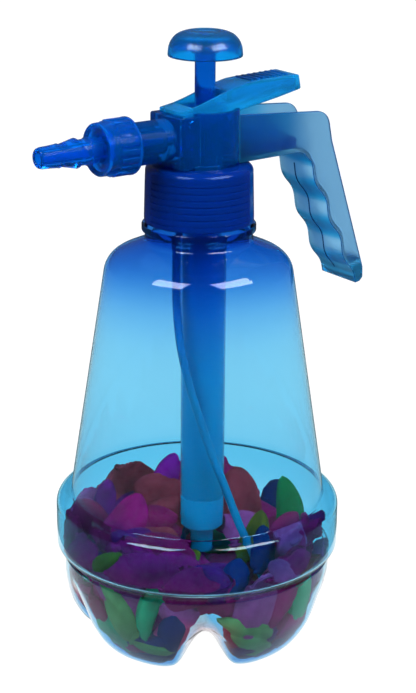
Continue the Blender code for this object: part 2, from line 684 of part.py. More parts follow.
def make_balloons(parent, materials):
    """Balloons heaped in the base, in layers.

    Each layer is (count, ring radius, height, first direction, radial, across, tall).
    """
    layers = [
        (5, 43.0, 14.0, FOOT_PHASE, 12.0, 11.0, 7.5),
        (2, 14.5, 23.0, 30.0, 11.0, 12.0, 6.5),
        (5, 45.5, 33.0, FOOT_PHASE + 36.0, 13.0, 15.0, 6.5),
        (6, 47.0, 48.5, FOOT_PHASE + 38.0, 14.0, 15.0, 7.0),
        (6, 48.5, 64.5, FOOT_PHASE + 8.0, 12.5, 17.0, 7.2),
        (4, 44.5, 81.0, FOOT_PHASE + 52.0, 12.5, 17.5, 7.0),
    ]
    number = 0
    for count, ring, height, first, radial, across, tall in layers:
        for k in range(count):
            number += 1
            name = f"balloon_{number:02d}"
            mesh = balloon_mesh(name, radial, across, tall)
            balloon = add_object(name, mesh, parent, materials[number % len(materials)])
            angle = math.radians(first + 360 * k / count)
            balloon.location = (ring * math.cos(angle) * MM, ring * math.sin(angle) * MM, height * MM)
            balloon.rotation_euler = (0, math.radians(8 * (-1) ** number), angle + math.pi)


def main():
    clear_scene()
    axis = bpy.data.objects.new("bottle_axis", None)
    bpy.context.scene.collection.objects.link(axis)
    axis.location.x = BOTTLE_X * MM
    clear_blue = plastic("clear_blue", (0.35, 0.72, 0.92), 0.06, transmission=1.0)
    deep_blue = plastic("deep_blue", (0.01, 0.10, 0.50), 0.22, transmission=0.5)
    mid_blue = plastic("mid_blue", (0.04, 0.25, 0.62), 0.28, transmission=0.5)
    pale_blue = plastic("pale_blue", (0.25, 0.52, 0.74), 0.35, transmission=0.6)
    white = plastic("natural_plastic", (0.78, 0.78, 0.74), 0.4)
    rubber = plastic("black_rubber", (0.03, 0.03, 0.03), 0.6)
    steel = plastic("spring_steel", (0.62, 0.62, 0.64), 0.3, metallic=1.0)
    tube = plastic("tube_blue", (0.10, 0.45, 0.72), 0.3, transmission=0.6)
    make_bottle(axis, clear_blue)
    make_collar(axis, deep_blue)
    make_head(axis, deep_blue)
    make_handle(axis, pale_blue)
    make_lever(axis, mid_blue)
    make_nozzle(axis, deep_blue, rubber)
    make_valve(axis, white, rubber, steel)
    make_plunger(axis, mid_blue, rubber)
    make_pump(axis, tube, rubber)
    make_dip_tube(axis, tube)
    colours = {
        "magenta": (0.36, 0.01, 0.26),
        "violet": (0.13, 0.02, 0.36),
        "maroon": (0.27, 0.03, 0.08),
        "green": (0.02, 0.30, 0.06),
        "navy": (0.01, 0.04, 0.24),
        "brown": (0.30, 0.10, 0.08),
        "teal": (0.01, 0.26, 0.25),
    }
    balloons = [plastic(f"balloon_{name}", colour, 0.45) for name, colour in colours.items()]
    make_balloons(axis, balloons)


main()
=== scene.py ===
"""Looks for the balloon filling pressure bottle: fine moulded surfaces, blue plastics, limp latex balloons,
a pale floor, soft lights and the camera. Lengths are in millimetres, which MM turns into metres, apart from
those of materials and the studio. Places that the CAD model sets are read from its boxes."""

import math
import random

import bmesh
import bpy
import numpy as np
from mathutils import Matrix, Vector


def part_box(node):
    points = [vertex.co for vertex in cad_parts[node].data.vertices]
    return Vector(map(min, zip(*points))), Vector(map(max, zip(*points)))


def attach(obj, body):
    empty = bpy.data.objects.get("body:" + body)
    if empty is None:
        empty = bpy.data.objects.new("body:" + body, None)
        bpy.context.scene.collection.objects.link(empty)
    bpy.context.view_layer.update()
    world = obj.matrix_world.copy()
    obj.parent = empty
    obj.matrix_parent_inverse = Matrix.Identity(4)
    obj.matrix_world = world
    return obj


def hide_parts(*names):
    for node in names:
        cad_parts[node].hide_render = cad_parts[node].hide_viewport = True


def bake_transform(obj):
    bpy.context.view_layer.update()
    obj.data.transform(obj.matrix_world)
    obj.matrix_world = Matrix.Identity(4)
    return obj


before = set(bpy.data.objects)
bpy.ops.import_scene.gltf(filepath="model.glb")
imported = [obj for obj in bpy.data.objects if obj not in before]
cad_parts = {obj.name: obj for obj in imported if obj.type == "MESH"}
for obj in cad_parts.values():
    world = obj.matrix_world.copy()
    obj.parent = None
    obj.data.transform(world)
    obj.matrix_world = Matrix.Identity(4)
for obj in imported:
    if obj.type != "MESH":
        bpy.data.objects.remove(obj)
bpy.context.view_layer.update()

MM = 0.001
BOTTLE_RINGS = ("bottle", "bottle_neck", "bottle_shoulder", "bottle_belt", "bottle_base")
GAP = 0.3


def low_of(node):
    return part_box(node)[0] / MM


def high_of(node):
    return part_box(node)[1] / MM


def middle_of(node):
    return (low_of(node) + high_of(node)) / 2


# Driving places, in millimetres, from the CAD boxes
AXIS_X = middle_of("bottle").x
PUMP_X = middle_of("pump_cylinder").x - AXIS_X
NOZZLE_Z = middle_of("nozzle_tip").z
TIP_END_X = low_of("nozzle_tip").x - AXIS_X
BELT_R = high_of("bottle_belt").y
NECK_TOP_Z = high_of("bottle_neck").z
COLLAR_FOOT_Z = low_of("collar_nut").z
COLLAR_TOP_Z = high_of("collar_nut").z
COLLAR_R = high_of("collar_nut").y
KNOB_RIM_Z = low_of("plunger_knob").z
KNOB_TOP_Z = high_of("plunger_knob").z
KNOB_R = high_of("plunger_knob").y
ROD_R = high_of("plunger_rod").y
CYLINDER_FOOT_Z = low_of("pump_cylinder").z
CYLINDER_TOP_Z = high_of("pump_cylinder").z
CUP_RIM_Z = high_of("pump_head").z
GRIP_BACK_X = high_of("handle").x - AXIS_X
GRIP_HALF_Y = high_of("handle").y
CAMERA_AZIMUTH = -125.7

# Places that no box gives, as in the CAD model
PIVOT_X, PIVOT_Z = -11.0, 259.0
TUBE_X = -12.9
NUT_RIBS = 20


# ---------------- mesh helpers


def to_mesh(name, bm, smooth_angle=35):
    bmesh.ops.recalc_face_normals(bm, faces=bm.faces)
    mesh = bpy.data.meshes.new(name)
    bm.to_mesh(mesh)
    bm.free()
    mesh.shade_smooth()
    mesh.set_sharp_from_angle(angle=math.radians(smooth_angle))
    return mesh


def add_object(name, data):
    obj = bpy.data.objects.new(name, data)
    bpy.context.scene.collection.objects.link(obj)
    return obj


def arc_at(here, back, on, radius, steps, share=math.inf):
    """An arc in place of a corner. back and on lead to its neighbours, and it uses up to a share of each."""
    half = back.angle(on) / 2
    reach = min(radius / math.tan(half), share * back.length, share * on.length)
    back, on = back.normalized(), on.normalized()
    centre = here + (back + on).normalized() * (reach / math.cos(half))
    start = here + back * reach - centre
    turn = start.angle_signed(here + on * reach - centre)
    return [tuple(centre + Matrix.Rotation(-turn * k / steps, 2) @ start) for k in range(steps + 1)]


def rounded(corners, steps):
    """An outline through corners (a, b, radius), each corner with a radius turned into an arc."""
    points = []
    for i, (a, b, radius) in enumerate(corners):
        here = Vector((a, b))
        if radius <= 0 or i in (0, len(corners) - 1):
            points.append((a, b))
            continue
        back, on = Vector(corners[i - 1][:2]) - here, Vector(corners[i + 1][:2]) - here
        points += arc_at(here, back, on, radius, steps)
    return points


def softened(outline, radius):
    """A closed outline with an arc at each corner that bends by 12 degrees or more, off the axis."""
    points = []
    for i, here in enumerate(outline):
        here = Vector(here)
        back = Vector(outline[i - 1]) - here
        on = Vector(outline[(i + 1) % len(outline)]) - here
        if back.angle(on) > math.radians(168) or min(here.x, back.length, on.length) < 1e-6:
            points.append(tuple(here))
        else:
            points += arc_at(here, back, on, radius, 3, 0.45)
    return points


def bridge(bm, rings):
    """Adds the faces between each ring of vertices and the next. A ring on the axis is a single vertex."""
    for first, second in zip(rings, rings[1:]):
        count = max(len(first), len(second))
        for k in range(count):
            after = (k + 1) % count
            corners = [first[k % len(first)], first[after % len(first)]]
            corners += [second[after % len(second)], second[k % len(second)]]
            face = list(dict.fromkeys(corners))
            if len(face) > 2:
                bm.faces.new(face)


def loft(name, rings, smooth_angle=35, order=1):
    """A closed mesh through rings of points in millimetres, with a face over each end.

    An order of -1 lists the first end's points backwards, which a boolean cut can tell.
    """
    bm = bmesh.new()
    rings = [[bm.verts.new(np.array(point) * MM) for point in ring] for ring in rings]
    bridge(bm, rings)
    bm.faces.new(rings[0][::order])
    bm.faces.new(rings[-1])
    return to_mesh(name, bm, smooth_angle)


def turned_mesh(name, profile, segments=128, shape=None, smooth_angle=35):
    """A closed outline of (radius, height) turned about Z; shape(radius, height, angle) may move a point."""
    bm = bmesh.new()
    rings = []
    for radius, height in profile:
        if radius < 1e-6:
            rings.append([bm.verts.new((0, 0, height * MM))])
            continue
        ring = []
        for k in range(segments):
            angle = 2 * math.pi * k / segments
            r, z = shape(radius, height, angle) if shape else (radius, height)
            ring.append(bm.verts.new((r * math.cos(angle) * MM, r * math.sin(angle) * MM, z * MM)))
        rings.append(ring)
    bridge(bm, rings + rings[:1])
    return to_mesh(name, bm, smooth_angle)


def placed(mesh, x=0.0):
    """Moves a mesh from its own axis to the bottle's, or x millimetres along from it."""
    mesh.transform(Matrix.Translation(((AXIS_X + x) * MM, 0, 0)))
    return mesh


def on_nozzle(mesh):
    """Turns a mesh from its own axis to the nozzle's."""
    mesh.transform(Matrix.Translation((0, 0, NOZZLE_Z * MM)) @ Matrix.Rotation(math.radians(90), 4, "Y"))
    return mesh


def slab_mesh(name, outline, stations):
    """A side outline of (x, z) points carried across Y through stations (y, shift of each point)."""
    rings = []
    for y, shifts in stations:
        moves = [shifts.get(k, (0, 0)) for k in range(len(outline))]
        rings.append([(x + dx, y, z + dz) for (x, z), (dx, dz) in zip(outline, moves)])
    return loft(name, rings, order=-1)


def slab(name, outline, half_y):
    return add_object(name, slab_mesh(name, outline, [(-half_y, {}), (half_y, {})]))


def block(name, low, high, half_y):
    """A box between two corners (x, z), half_y to each side."""
    return slab(name, [low, (high[0], low[1]), high, (low[0], high[1])], half_y)


def bar_mesh(name, start, end, radius, segments):
    along = Vector(end) - Vector(start)
    bm = bmesh.new()
    turn = along.to_track_quat("Z", "Y").to_matrix().to_4x4()
    place = Matrix.Translation((Vector(start) + Vector(end)) / 2 * MM) @ turn
    sizes = {"radius1": radius * MM, "radius2": radius * MM, "depth": along.length * MM}
    bmesh.ops.create_cone(bm, cap_ends=True, segments=segments, matrix=place, **sizes)
    return to_mesh(name, bm)


def bar(name, *shape):
    return add_object(name, bar_mesh(name, *shape))


def joined(name, meshes):
    bm = bmesh.new()
    for mesh in meshes:
        bm.from_mesh(mesh)
    return to_mesh(name, bm)


# What a carving step does and how: a step is one of these and its helper shapes
JOIN, CUT, CUT_MANY = ("UNION", "EXACT"), ("DIFFERENCE", "EXACT"), ("DIFFERENCE", "MANIFOLD")


def carved(obj, steps, bevel, angle=35, edged=False):
    """Joins and cuts helper shapes in turn, rounds the edges, and keeps the result as a plain mesh."""
    for _ in range(2 if edged else 0):
        obj.data.materials.append(None)
    for (operation, solver), *tools in steps:
        for tool in tools:
            modifier = obj.modifiers.new(operation, "BOOLEAN")
            modifier.operation = operation
            modifier.solver = solver
            modifier.object = tool
    modifier = obj.modifiers.new("edges", "BEVEL")
    modifier.width = bevel * MM
    modifier.segments = 2
    modifier.limit_method = "ANGLE"
    modifier.angle_limit = math.radians(angle)
    modifier.use_clamp_overlap = True
    modifier.material = 1 if edged else -1
    modifier.miter_outer = "MITER_ARC"
    settle(obj)
    for _, *tools in steps:
        for tool in tools:
            bpy.data.objects.remove(tool)


def settle(obj):
    """Applies an object's modifiers, leaving a plain smooth mesh."""
    bpy.context.view_layer.update()
    graph = bpy.context.evaluated_depsgraph_get()
    mesh = bpy.data.meshes.new_from_object(obj.evaluated_get(graph))
    obj.modifiers.clear()
    obj.data = mesh
    mesh.shade_smooth()
    mesh.set_sharp_from_angle(angle=math.radians(35))


def dress(obj, material, body, slot, *nodes, edges=None):
    """Gives a piece its material and its CAD body, and hides the CAD nodes it stands for. The record slot is
    not used.
    """
    if edges:
        obj.data.materials[0], obj.data.materials[1] = material, edges
    else:
        obj.data.materials.clear()
        obj.data.materials.append(material)
    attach(obj, body)
    if nodes:
        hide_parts(*nodes)
    return obj


# ---------------- materials


def with_inputs(made, **inputs):
    for name, value in inputs.items():
        made.inputs[name.replace("_", " ")].default_value = value
    return made


def node(tree, kind, **inputs):
    return with_inputs(tree.nodes.new(kind), **inputs)


def new_material(name, **inputs):
    """A material with numbers set on its shader's own sockets, its node tree and its shader."""
    material = bpy.data.materials.new(name)
    material.use_nodes = True
    tree = material.node_tree
    return material, tree, with_inputs(tree.nodes["Principled BSDF"], **inputs)


def noise_of(tree, place, scale, detail=3.0, roughness=0.5):
    noise = node(tree, "ShaderNodeTexNoise", Scale=scale, Detail=detail, Roughness=roughness)
    tree.links.new(place, noise.inputs["Vector"])
    return noise.outputs["Fac"]


def ranged(tree, value, from_min, from_max, to_min=0.0, to_max=1.0):
    """A value carried from one range to another."""
    limits = {"From_Min": from_min, "From_Max": from_max, "To_Min": to_min, "To_Max": to_max}
    span = node(tree, "ShaderNodeMapRange", **limits)
    tree.links.new(value, span.inputs["Value"])
    return span.outputs["Result"]


def part_of(tree, vector, axis):
    split = tree.nodes.new("ShaderNodeSeparateXYZ")
    tree.links.new(vector, split.inputs[0])
    return split.outputs[axis]


def finish_surface(tree, shader, colour, gloss, bump_strength, place, *grain):
    """Links a shader's colour and roughness, and a bump made of a noise of this grain where it has one."""
    tree.links.new(colour, shader.inputs["Base Color"])
    tree.links.new(gloss, shader.inputs["Roughness"])
    if bump_strength:
        bump = node(tree, "ShaderNodeBump", Strength=bump_strength, Distance=0.0006)
        tree.links.new(noise_of(tree, place, *grain), bump.inputs["Height"])
        tree.links.new(bump.outputs["Normal"], shader.inputs["Normal"])


def place_ramp(tree, place, axis, stops):
    """A colour that changes along an axis, through stops of (place in metres, colour)."""
    low, high = stops[0][0], stops[-1][0]
    ramp = tree.nodes.new("ShaderNodeValToRGB")
    ramp.color_ramp.interpolation = "B_SPLINE"
    ends = ramp.color_ramp.elements
    ends[0].position, ends[0].color = 0, (*stops[0][1], 1)
    ends[1].position, ends[1].color = 1, (*stops[-1][1], 1)
    for height, colour in stops[1:-1]:
        ends.new((height - low) / (high - low)).color = (*colour, 1)
    tree.links.new(ranged(tree, part_of(tree, place, axis), low, high), ramp.inputs["Fac"])
    return ramp.outputs["Color"]


def mixed(tree, share, tint, other):
    """A tint that turns to another, a plain colour or a socket, as share goes from 0 to 1."""
    mix = tree.nodes.new("ShaderNodeMix")
    mix.data_type = "RGBA"
    # A mix node has sockets of the same name for each data type: these are the ones for colours
    factor, first, second, result = mix.inputs[0], mix.inputs[6], mix.inputs[7], mix.outputs[2]
    if isinstance(other, tuple):
        second.default_value = (*other, 1)
    else:
        tree.links.new(other, second)
    tree.links.new(share, factor)
    tree.links.new(tint, first)
    return result


def side_tint(tree, coordinates, side, stops):
    """A colour that runs along X where a face looks along Y; elsewhere a painted highlight where a face looks
    up and painted shade where it looks down.
    """
    normal, place = coordinates.outputs["Normal"], coordinates.outputs["Object"]
    size = node(tree, "ShaderNodeMath")
    size.operation = "ABSOLUTE"
    tree.links.new(part_of(tree, normal, "Y"), size.inputs[0])
    share = ranged(tree, size.outputs[0], 0.35, 0.9)
    tint = mixed(tree, share, place_ramp(tree, normal, "Z", stops), place_ramp(tree, place, "X", side))
    foot = ranged(tree, part_of(tree, place, "Z"), *GRIP_FOOT_SPAN)
    return mixed(tree, foot, tint, GRIP_FOOT)


def lip_tint(tree, tint, colour):
    """Lets the tint turn to another colour where the mesh's lip attribute is 1."""
    share = tree.nodes.new("ShaderNodeAttribute")
    share.attribute_name = "lip"
    return mixed(tree, share.outputs["Fac"], tint, colour)


def plastic(
    name, colour, roughness, transmission, ior=1.47, variation=0.06, grain=0.0, stops=None, axis="Z",
    mottle=60.0, edge=None, lip=None, shine=(0.012, 0.03, 0.05), metallic=0.0,
):
    """Moulded plastic: a tint that drifts a little, a faint uneven gloss and a fine moulded skin."""
    fixed = {"IOR": ior, "Transmission_Weight": transmission, "Metallic": metallic}
    material, tree, shader = new_material(name, Specular_Tint=(*shine, 1), **fixed)
    coordinates = tree.nodes.new("ShaderNodeTexCoord")
    place = coordinates.outputs["Object"]
    if stops:
        tint = place_ramp(tree, place, axis, stops)
        if lip:
            tint = lip_tint(tree, tint, lip)
    # edge holds the stops of painted highlight and painted shade, set by how far up a face looks
    elif edge:
        tint = side_tint(tree, coordinates, colour, edge)
    else:
        tint = tree.nodes.new("ShaderNodeRGB").outputs[0]
        tint.default_value = (*colour, 1)
    shade = tree.nodes.new("ShaderNodeVectorMath")
    shade.operation = "SCALE"
    tree.links.new(tint, shade.inputs[0])
    drift = ranged(tree, noise_of(tree, place, mottle, 4.0, 0.6), 0, 1, 1 - variation, 1 + variation)
    tree.links.new(drift, shade.inputs["Scale"])
    gloss = ranged(tree, noise_of(tree, place, mottle * 4), 0, 1, roughness * 0.7, roughness * 1.3)
    finish_surface(tree, shader, shade.outputs[0], gloss, grain, place, mottle * 9)
    return material


def latex(name, colour):
    """Limp balloon latex: matt with a soft sheen, paler and darker at random, with fine creases."""
    material, tree, shader = new_material(name, Specular_IOR_Level=0.02, IOR=1.1)
    place = tree.nodes.new("ShaderNodeTexCoord").outputs["Object"]
    ramp = tree.nodes.new("ShaderNodeValToRGB")
    for end, position, share in zip(ramp.color_ramp.elements, (0.3, 0.75), (0.7, 1.35)):
        end.position, end.color = position, (*[min(1, c * share) for c in colour], 1)
    tree.links.new(noise_of(tree, place, 90.0, 4.0, 0.6), ramp.inputs["Fac"])
    gloss = ranged(tree, noise_of(tree, place, 300.0), 0, 1, 0.38, 0.6)
    finish_surface(tree, shader, ramp.outputs["Color"], gloss, 0.25, place, 420.0, 4.0, 0.65)
    return material


def solid(name, colour, roughness, metallic=0.0):
    """Rubber, natural plastic or steel inside the head and the pump."""
    look = {"variation": 0.15, "grain": 0.08, "mottle": 200.0}
    return plastic(name, colour, roughness, 0.0, metallic=metallic, **look)


# Stops are (place, colour): height for clear, x for the arm and the head, and the normal's Z for the waves,
# whose stops paint highlight where a face looks up and shade where it looks down
CLEAR_STOPS = [
    (0.000, (0.12, 0.44, 0.78)),
    (0.012, (0.28, 0.64, 0.87)),
    (0.026, (0.44, 0.78, 0.93)),
    (0.044, (0.40, 0.76, 0.92)),
    (0.058, (0.24, 0.66, 0.86)),
    (0.072, (0.20, 0.64, 0.85)),
    (0.079, (0.39, 0.74, 0.91)),
    (0.130, (0.445, 0.78, 0.92)),
    (0.158, (0.42, 0.75, 0.92)),
    (0.176, (0.26, 0.58, 0.88)),
    (0.190, (0.09, 0.35, 0.78)),
    (0.203, (0.012, 0.15, 0.55)),
    (0.231, (0.008, 0.12, 0.50)),
]
# Painted light on the grip's waves: lighter where a face looks up, darker where it looks down
WAVE_PAINTED_LIGHT_STOPS = [
    (-0.72, (0.0008, 0.17, 0.50)),
    (-0.52, (0.001, 0.23, 0.58)),
    (-0.34, (0.01, 0.32, 0.66)),
    (-0.24, (0.18, 0.48, 0.76)),
    (-0.12, (0.22, 0.52, 0.80)),
]
ARM_STOPS = [
    (0.008, (0.004, 0.19, 0.50)),
    (0.024, (0.006, 0.22, 0.54)),
    (0.040, (0.03, 0.29, 0.58)),
    (0.047, (0.12, 0.35, 0.60)),
    (0.056, (0.15, 0.37, 0.60)),
]
GRIP_FOOT = (0.02, 0.26, 0.55)
GRIP_FOOT_SPAN = (0.1785, 0.1775)
HEAD_STOPS = [
    (-0.030, (0.0003, 0.075, 0.34)),
    (-0.016, (0.0003, 0.055, 0.30)),
    (0.018, (0.0003, 0.085, 0.42)),
    (0.024, (0.0005, 0.40, 0.95)),
    (0.050, (0.0005, 0.46, 0.98)),
]
CLEAR = plastic(
    "clear_blue", None, 0.03, 1.0, ior=1.25, variation=0.03, grain=0.004, stops=CLEAR_STOPS, mottle=25.0,
    lip=(0.80, 0.72, 0.76), shine=(1.0, 1.0, 1.0),
)
HEAD = plastic("head_blue", None, 0.14, 0.85, ior=1.3, variation=0.08, stops=HEAD_STOPS, axis="X")
NUT = plastic("nut_blue", (0.0003, 0.125, 0.60), 0.14, 0.88, variation=0.08)
COLLAR = plastic("collar_blue", (0.0003, 0.025, 0.24), 0.16, 0.7, shine=(0.08, 0.14, 0.2))
MID = plastic("mid_blue", (0.004, 0.27, 0.62), 0.22, 0.8, shine=(0.08, 0.12, 0.16))
EDGE = plastic("edge_blue", (0.0003, 0.055, 0.22), 0.2, 0.3, shine=(0.1, 0.2, 0.3))
# Painted highlight: the head's bevelled edges are a lighter blue than the head itself
RIM_HIGHLIGHT = plastic("rim_highlight_blue", (0.002, 0.15, 0.55), 0.2, 0.6, shine=(0.1, 0.2, 0.3))
KNOB = plastic("knob_blue", (0.0008, 0.26, 0.70), 0.2, 0.95, shine=(0.3, 0.36, 0.42))
RODS = plastic("rod_blue", (0.0003, 0.09, 0.48), 0.25, 0.94)
# The grip's waves get painted highlight and painted shade from the wave stops
PALE = plastic("pale_blue", ARM_STOPS, 0.35, 0.995, edge=WAVE_PAINTED_LIGHT_STOPS, shine=(0.05, 0.15, 0.25))
PUMP = plastic("pump_blue", (0.0003, 0.45, 0.76), 0.2, 0.6)
NIPPLE = plastic("nipple_blue", (0.0005, 0.48, 0.80), 0.2, 0.55)
TUBE = plastic("tube_blue", (0.0003, 0.32, 0.56), 0.2, 0.6)
WHITE = solid("natural_plastic", (0.72, 0.72, 0.68), 0.4)
RUBBER = solid("black_rubber", (0.02, 0.02, 0.022), 0.6)
STEEL = solid("spring_steel", (0.62, 0.62, 0.64), 0.28, metallic=1.0)
LATEX = {
    name: latex("latex_" + name, colour)
    for name, colour in (
        ("magenta", (0.40, 0.003, 0.075)),
        ("violet", (0.16, 0.004, 0.085)),
        ("violet_bright", (0.32, 0.003, 0.18)),
        ("maroon", (0.26, 0.004, 0.04)),
        ("mauve", (0.42, 0.04, 0.15)),
        ("green", (0.001, 0.125, 0.03)),
        ("sage", (0.16, 0.23, 0.07)),
        ("olive", (0.12, 0.07, 0.006)),
        ("teal", (0.01, 0.24, 0.10)),
        ("navy", (0.002, 0.014, 0.08)),
        ("brown", (0.34, 0.022, 0.03)),
    )
}


# ---------------- bottle

FEET = 5
FOOT_PHASE = -85.2
FOOT_SPREAD = 0.676
PAD_ROUND = 1.5
PAD_ROUND_TOP_Z = 15
PAD_LIFT = 0.02
WALL = 1.0
BOTTLE_SEGMENTS = 200
MOST_SPAN = 6


def smooth_line(points, steps):
    """A smooth curve through the points, with steps to each span."""
    points = [np.array(point, float) for point in points]
    line = []
    for k in range(len(points) - 1):
        before, start, end = points[max(k - 1, 0)], points[k], points[k + 1]
        after = points[min(k + 2, len(points) - 1)]
        for step in range(steps):
            t = step / steps
            bend = 2 * start + (end - before) * t + (2 * before - 5 * start + 4 * end - after) * t**2
            line.append((bend + (3 * start - before - 3 * end + after) * t**3) / 2)
    line.append(points[-1])
    return line


def foot_nearness(angles):
    return np.abs(np.cos(FEET * (angles - math.radians(FOOT_PHASE)) / 2))


def foot_share(angles):
    """How much of a foot there is in each direction: 1 over a foot's pad, 0 in a valley."""
    t = np.minimum(1.0, foot_nearness(angles) / FOOT_SPREAD)
    return t * t * (3 - 2 * t)


def bottle_outside(angles):
    """Rows of (radius, height) down the bottle's outer face in each direction, from its neck ring."""
    body = rounded(
        [
            (25.7, 205.4, 0),
            (25.7, 201.2, 2.0),
            (44.3, 193.0, 12.0),
            (62.7, 73.5, 0.8),
            (BELT_R, 71.6, 5.0),
            (BELT_R, 47.0, 2.4),
            (66.1, 46.0, 0.5),
            (66.1, 44.4, 0.3),
            (65.3, 43.0, 0.5),
            (66.0, 41.6, 0.4),
            (65.9, 38.5, 0),
        ],
        steps=8,
    )
    full = []
    for first, second in zip(np.array(body), np.array(body[1:])):
        steps = 1 + int(math.dist(first, second) / MOST_SPAN)
        full += [first + (second - first) * k / steps for k in range(steps)]
    feet = [(65.9, 38.5), (65.6, 31.0), (64.4, 23.0), (62.0, 15.0), (58.4, 7.5), (54.6, 2.4)]
    feet += [(51.0, 0.0), (45.4, 0.0), (40.5, 1.9), (31.0, 6.2), (17.0, 9.2), (0.5, 10.0)]
    valleys = [(65.9, 38.5), (65.5, 34.2), (64.0, 30.0), (61.4, 26.8), (57.6, 24.0), (53.4, 21.6)]
    valleys += [(49.6, 19.8), (44.6, 17.6), (39.0, 15.4), (29.5, 12.8), (16.5, 10.8), (0.5, 10.0)]
    share = foot_share(angles)[None, :, None]
    foot = np.repeat(np.array(smooth_line(feet, 5))[:, None, :], len(angles), axis=1)
    foot[..., 1] = np.maximum(foot[..., 1], PAD_LIFT)
    side = ((1 - foot_nearness(angles)) / (1 - FOOT_SPREAD))[None, :]
    foot[..., 1] += PAD_ROUND * side**2 * np.maximum(0.0, 1 - foot[..., 1] / PAD_ROUND_TOP_Z)
    valley = np.array(smooth_line(valleys, 5))[:, None, :]
    base = valley + (foot - valley) * share
    upper = np.repeat(np.array(full)[:, None, :], len(angles), axis=1)
    return np.concatenate([upper, base])


def in_space(table, angles):
    x, y = table[..., 0] * np.cos(angles), table[..., 0] * np.sin(angles)
    return np.stack([x, y, table[..., 1]], axis=-1)


def round_rows(outline):
    """An outline of (radius, height) points taken all the way round."""
    return in_space(np.repeat(np.array(outline)[:, None, :], BOTTLE_SEGMENTS, axis=1), ANGLES)


ANGLES = math.radians(FOOT_PHASE) + 2 * math.pi * np.arange(BOTTLE_SEGMENTS) / BOTTLE_SEGMENTS
OUTER = in_space(bottle_outside(ANGLES), ANGLES)


def face_normals(grid):
    down = np.gradient(grid, axis=0)
    around = np.roll(grid, -1, axis=1) - np.roll(grid, 1, axis=1)
    normal = np.cross(down, around)
    return normal / np.linalg.norm(normal, axis=-1, keepdims=True)


NORMALS = face_normals(OUTER)
INNER = OUTER - NORMALS * WALL


def make_bottle():
    wall_r, thread_r = 22.4, 22.9
    neck = [(21.4, NECK_TOP_Z), (22.2, NECK_TOP_Z - 0.2), (wall_r, NECK_TOP_Z - 0.8)]
    for turn in range(3):
        height = 226.6 - 4.2 * turn
        neck += [(wall_r, height + 1.0), (thread_r, height + 0.5)]
        neck += [(thread_r, height - 0.3), (wall_r, height - 0.8)]
    ring = [(wall_r, 213.0, 0), (wall_r, 209.8, 0.7), (27.2, 209.6, 0.5), (27.2, 206.5, 0.6)]
    neck += rounded(ring + [(25.9, 205.9, 0.4), (25.7, 205.5, 0)], 4)
    bore = [(23.4, 205.0), (21.2, 208.0), (20.9, 216.0), (20.9, 226.0), (21.0, NECK_TOP_Z - 0.3)]
    rows = np.concatenate([INNER[:0:-1], round_rows(bore), round_rows(neck), OUTER])
    mesh = loft("bottle_shell", rows + np.array([AXIS_X, 0, 0]), 40)
    x, y, z = np.array([vertex.co for vertex in mesh.vertices]).T / MM
    lip = (1 - foot_share(np.arctan2(y, x - AXIS_X))) ** 0.5 * np.interp(z, [6, 10, 27, 33], [0, 1, 1, 0])
    mesh.attributes.new("lip", "FLOAT", "POINT").data.foreach_set("value", lip)
    dress(add_object("bottle_shell", mesh), CLEAR, "bottle_assembly", "clear_blue", *BOTTLE_RINGS)


# ---------------- collar and neck


def make_collar():
    pitch, depth, lid = 3.1, 0.42, 2.1
    top_r, rings_top = COLLAR_R - 0.6, 233.8
    bands, half_band, fade = (158, -46), 17.0, 1.5
    profile = [(23.2, COLLAR_FOOT_Z), (COLLAR_R - 0.5, COLLAR_FOOT_Z), (COLLAR_R - 0.1, COLLAR_FOOT_Z + 0.3)]
    for k in range(7):
        height = COLLAR_FOOT_Z + pitch * (k + 0.75)
        radius = COLLAR_R + (top_r - COLLAR_R) * k / 7
        profile += [(radius, height - 0.1), (radius - depth, height + 0.15), (radius - depth, height + 0.45)]
        profile += [(radius - 0.05, height + 0.8)]
    profile += rounded([(top_r, rings_top, 0), (top_r, COLLAR_TOP_Z, 3.4), (17.1, COLLAR_TOP_Z, 0)], 10)
    profile += [(17.1, COLLAR_TOP_Z - lid), (23.2, COLLAR_TOP_Z - lid)]

    def banded(radius, height, angle):
        """The rings fade into two smooth upright bands."""
        smooth = 0.0
        for centre in bands:
            away = abs((math.degrees(angle) - centre + 180) % 360 - 180)
            smooth = max(smooth, min(1.0, (half_band - away) / fade))
        full = COLLAR_R + (top_r - COLLAR_R) * (height - COLLAR_FOOT_Z) / 23.0
        if smooth and radius > 25.0 and COLLAR_FOOT_Z + 1 < height < rings_top - 0.1:
            radius = radius + (full + 0.05 - radius) * smooth
        return radius, height

    collar = add_object("collar_rings", placed(turned_mesh("collar_rings", profile, 216, banded, 25)))
    dress(collar, COLLAR, "collar", "deep_blue", "collar_nut")


# ---------------- head


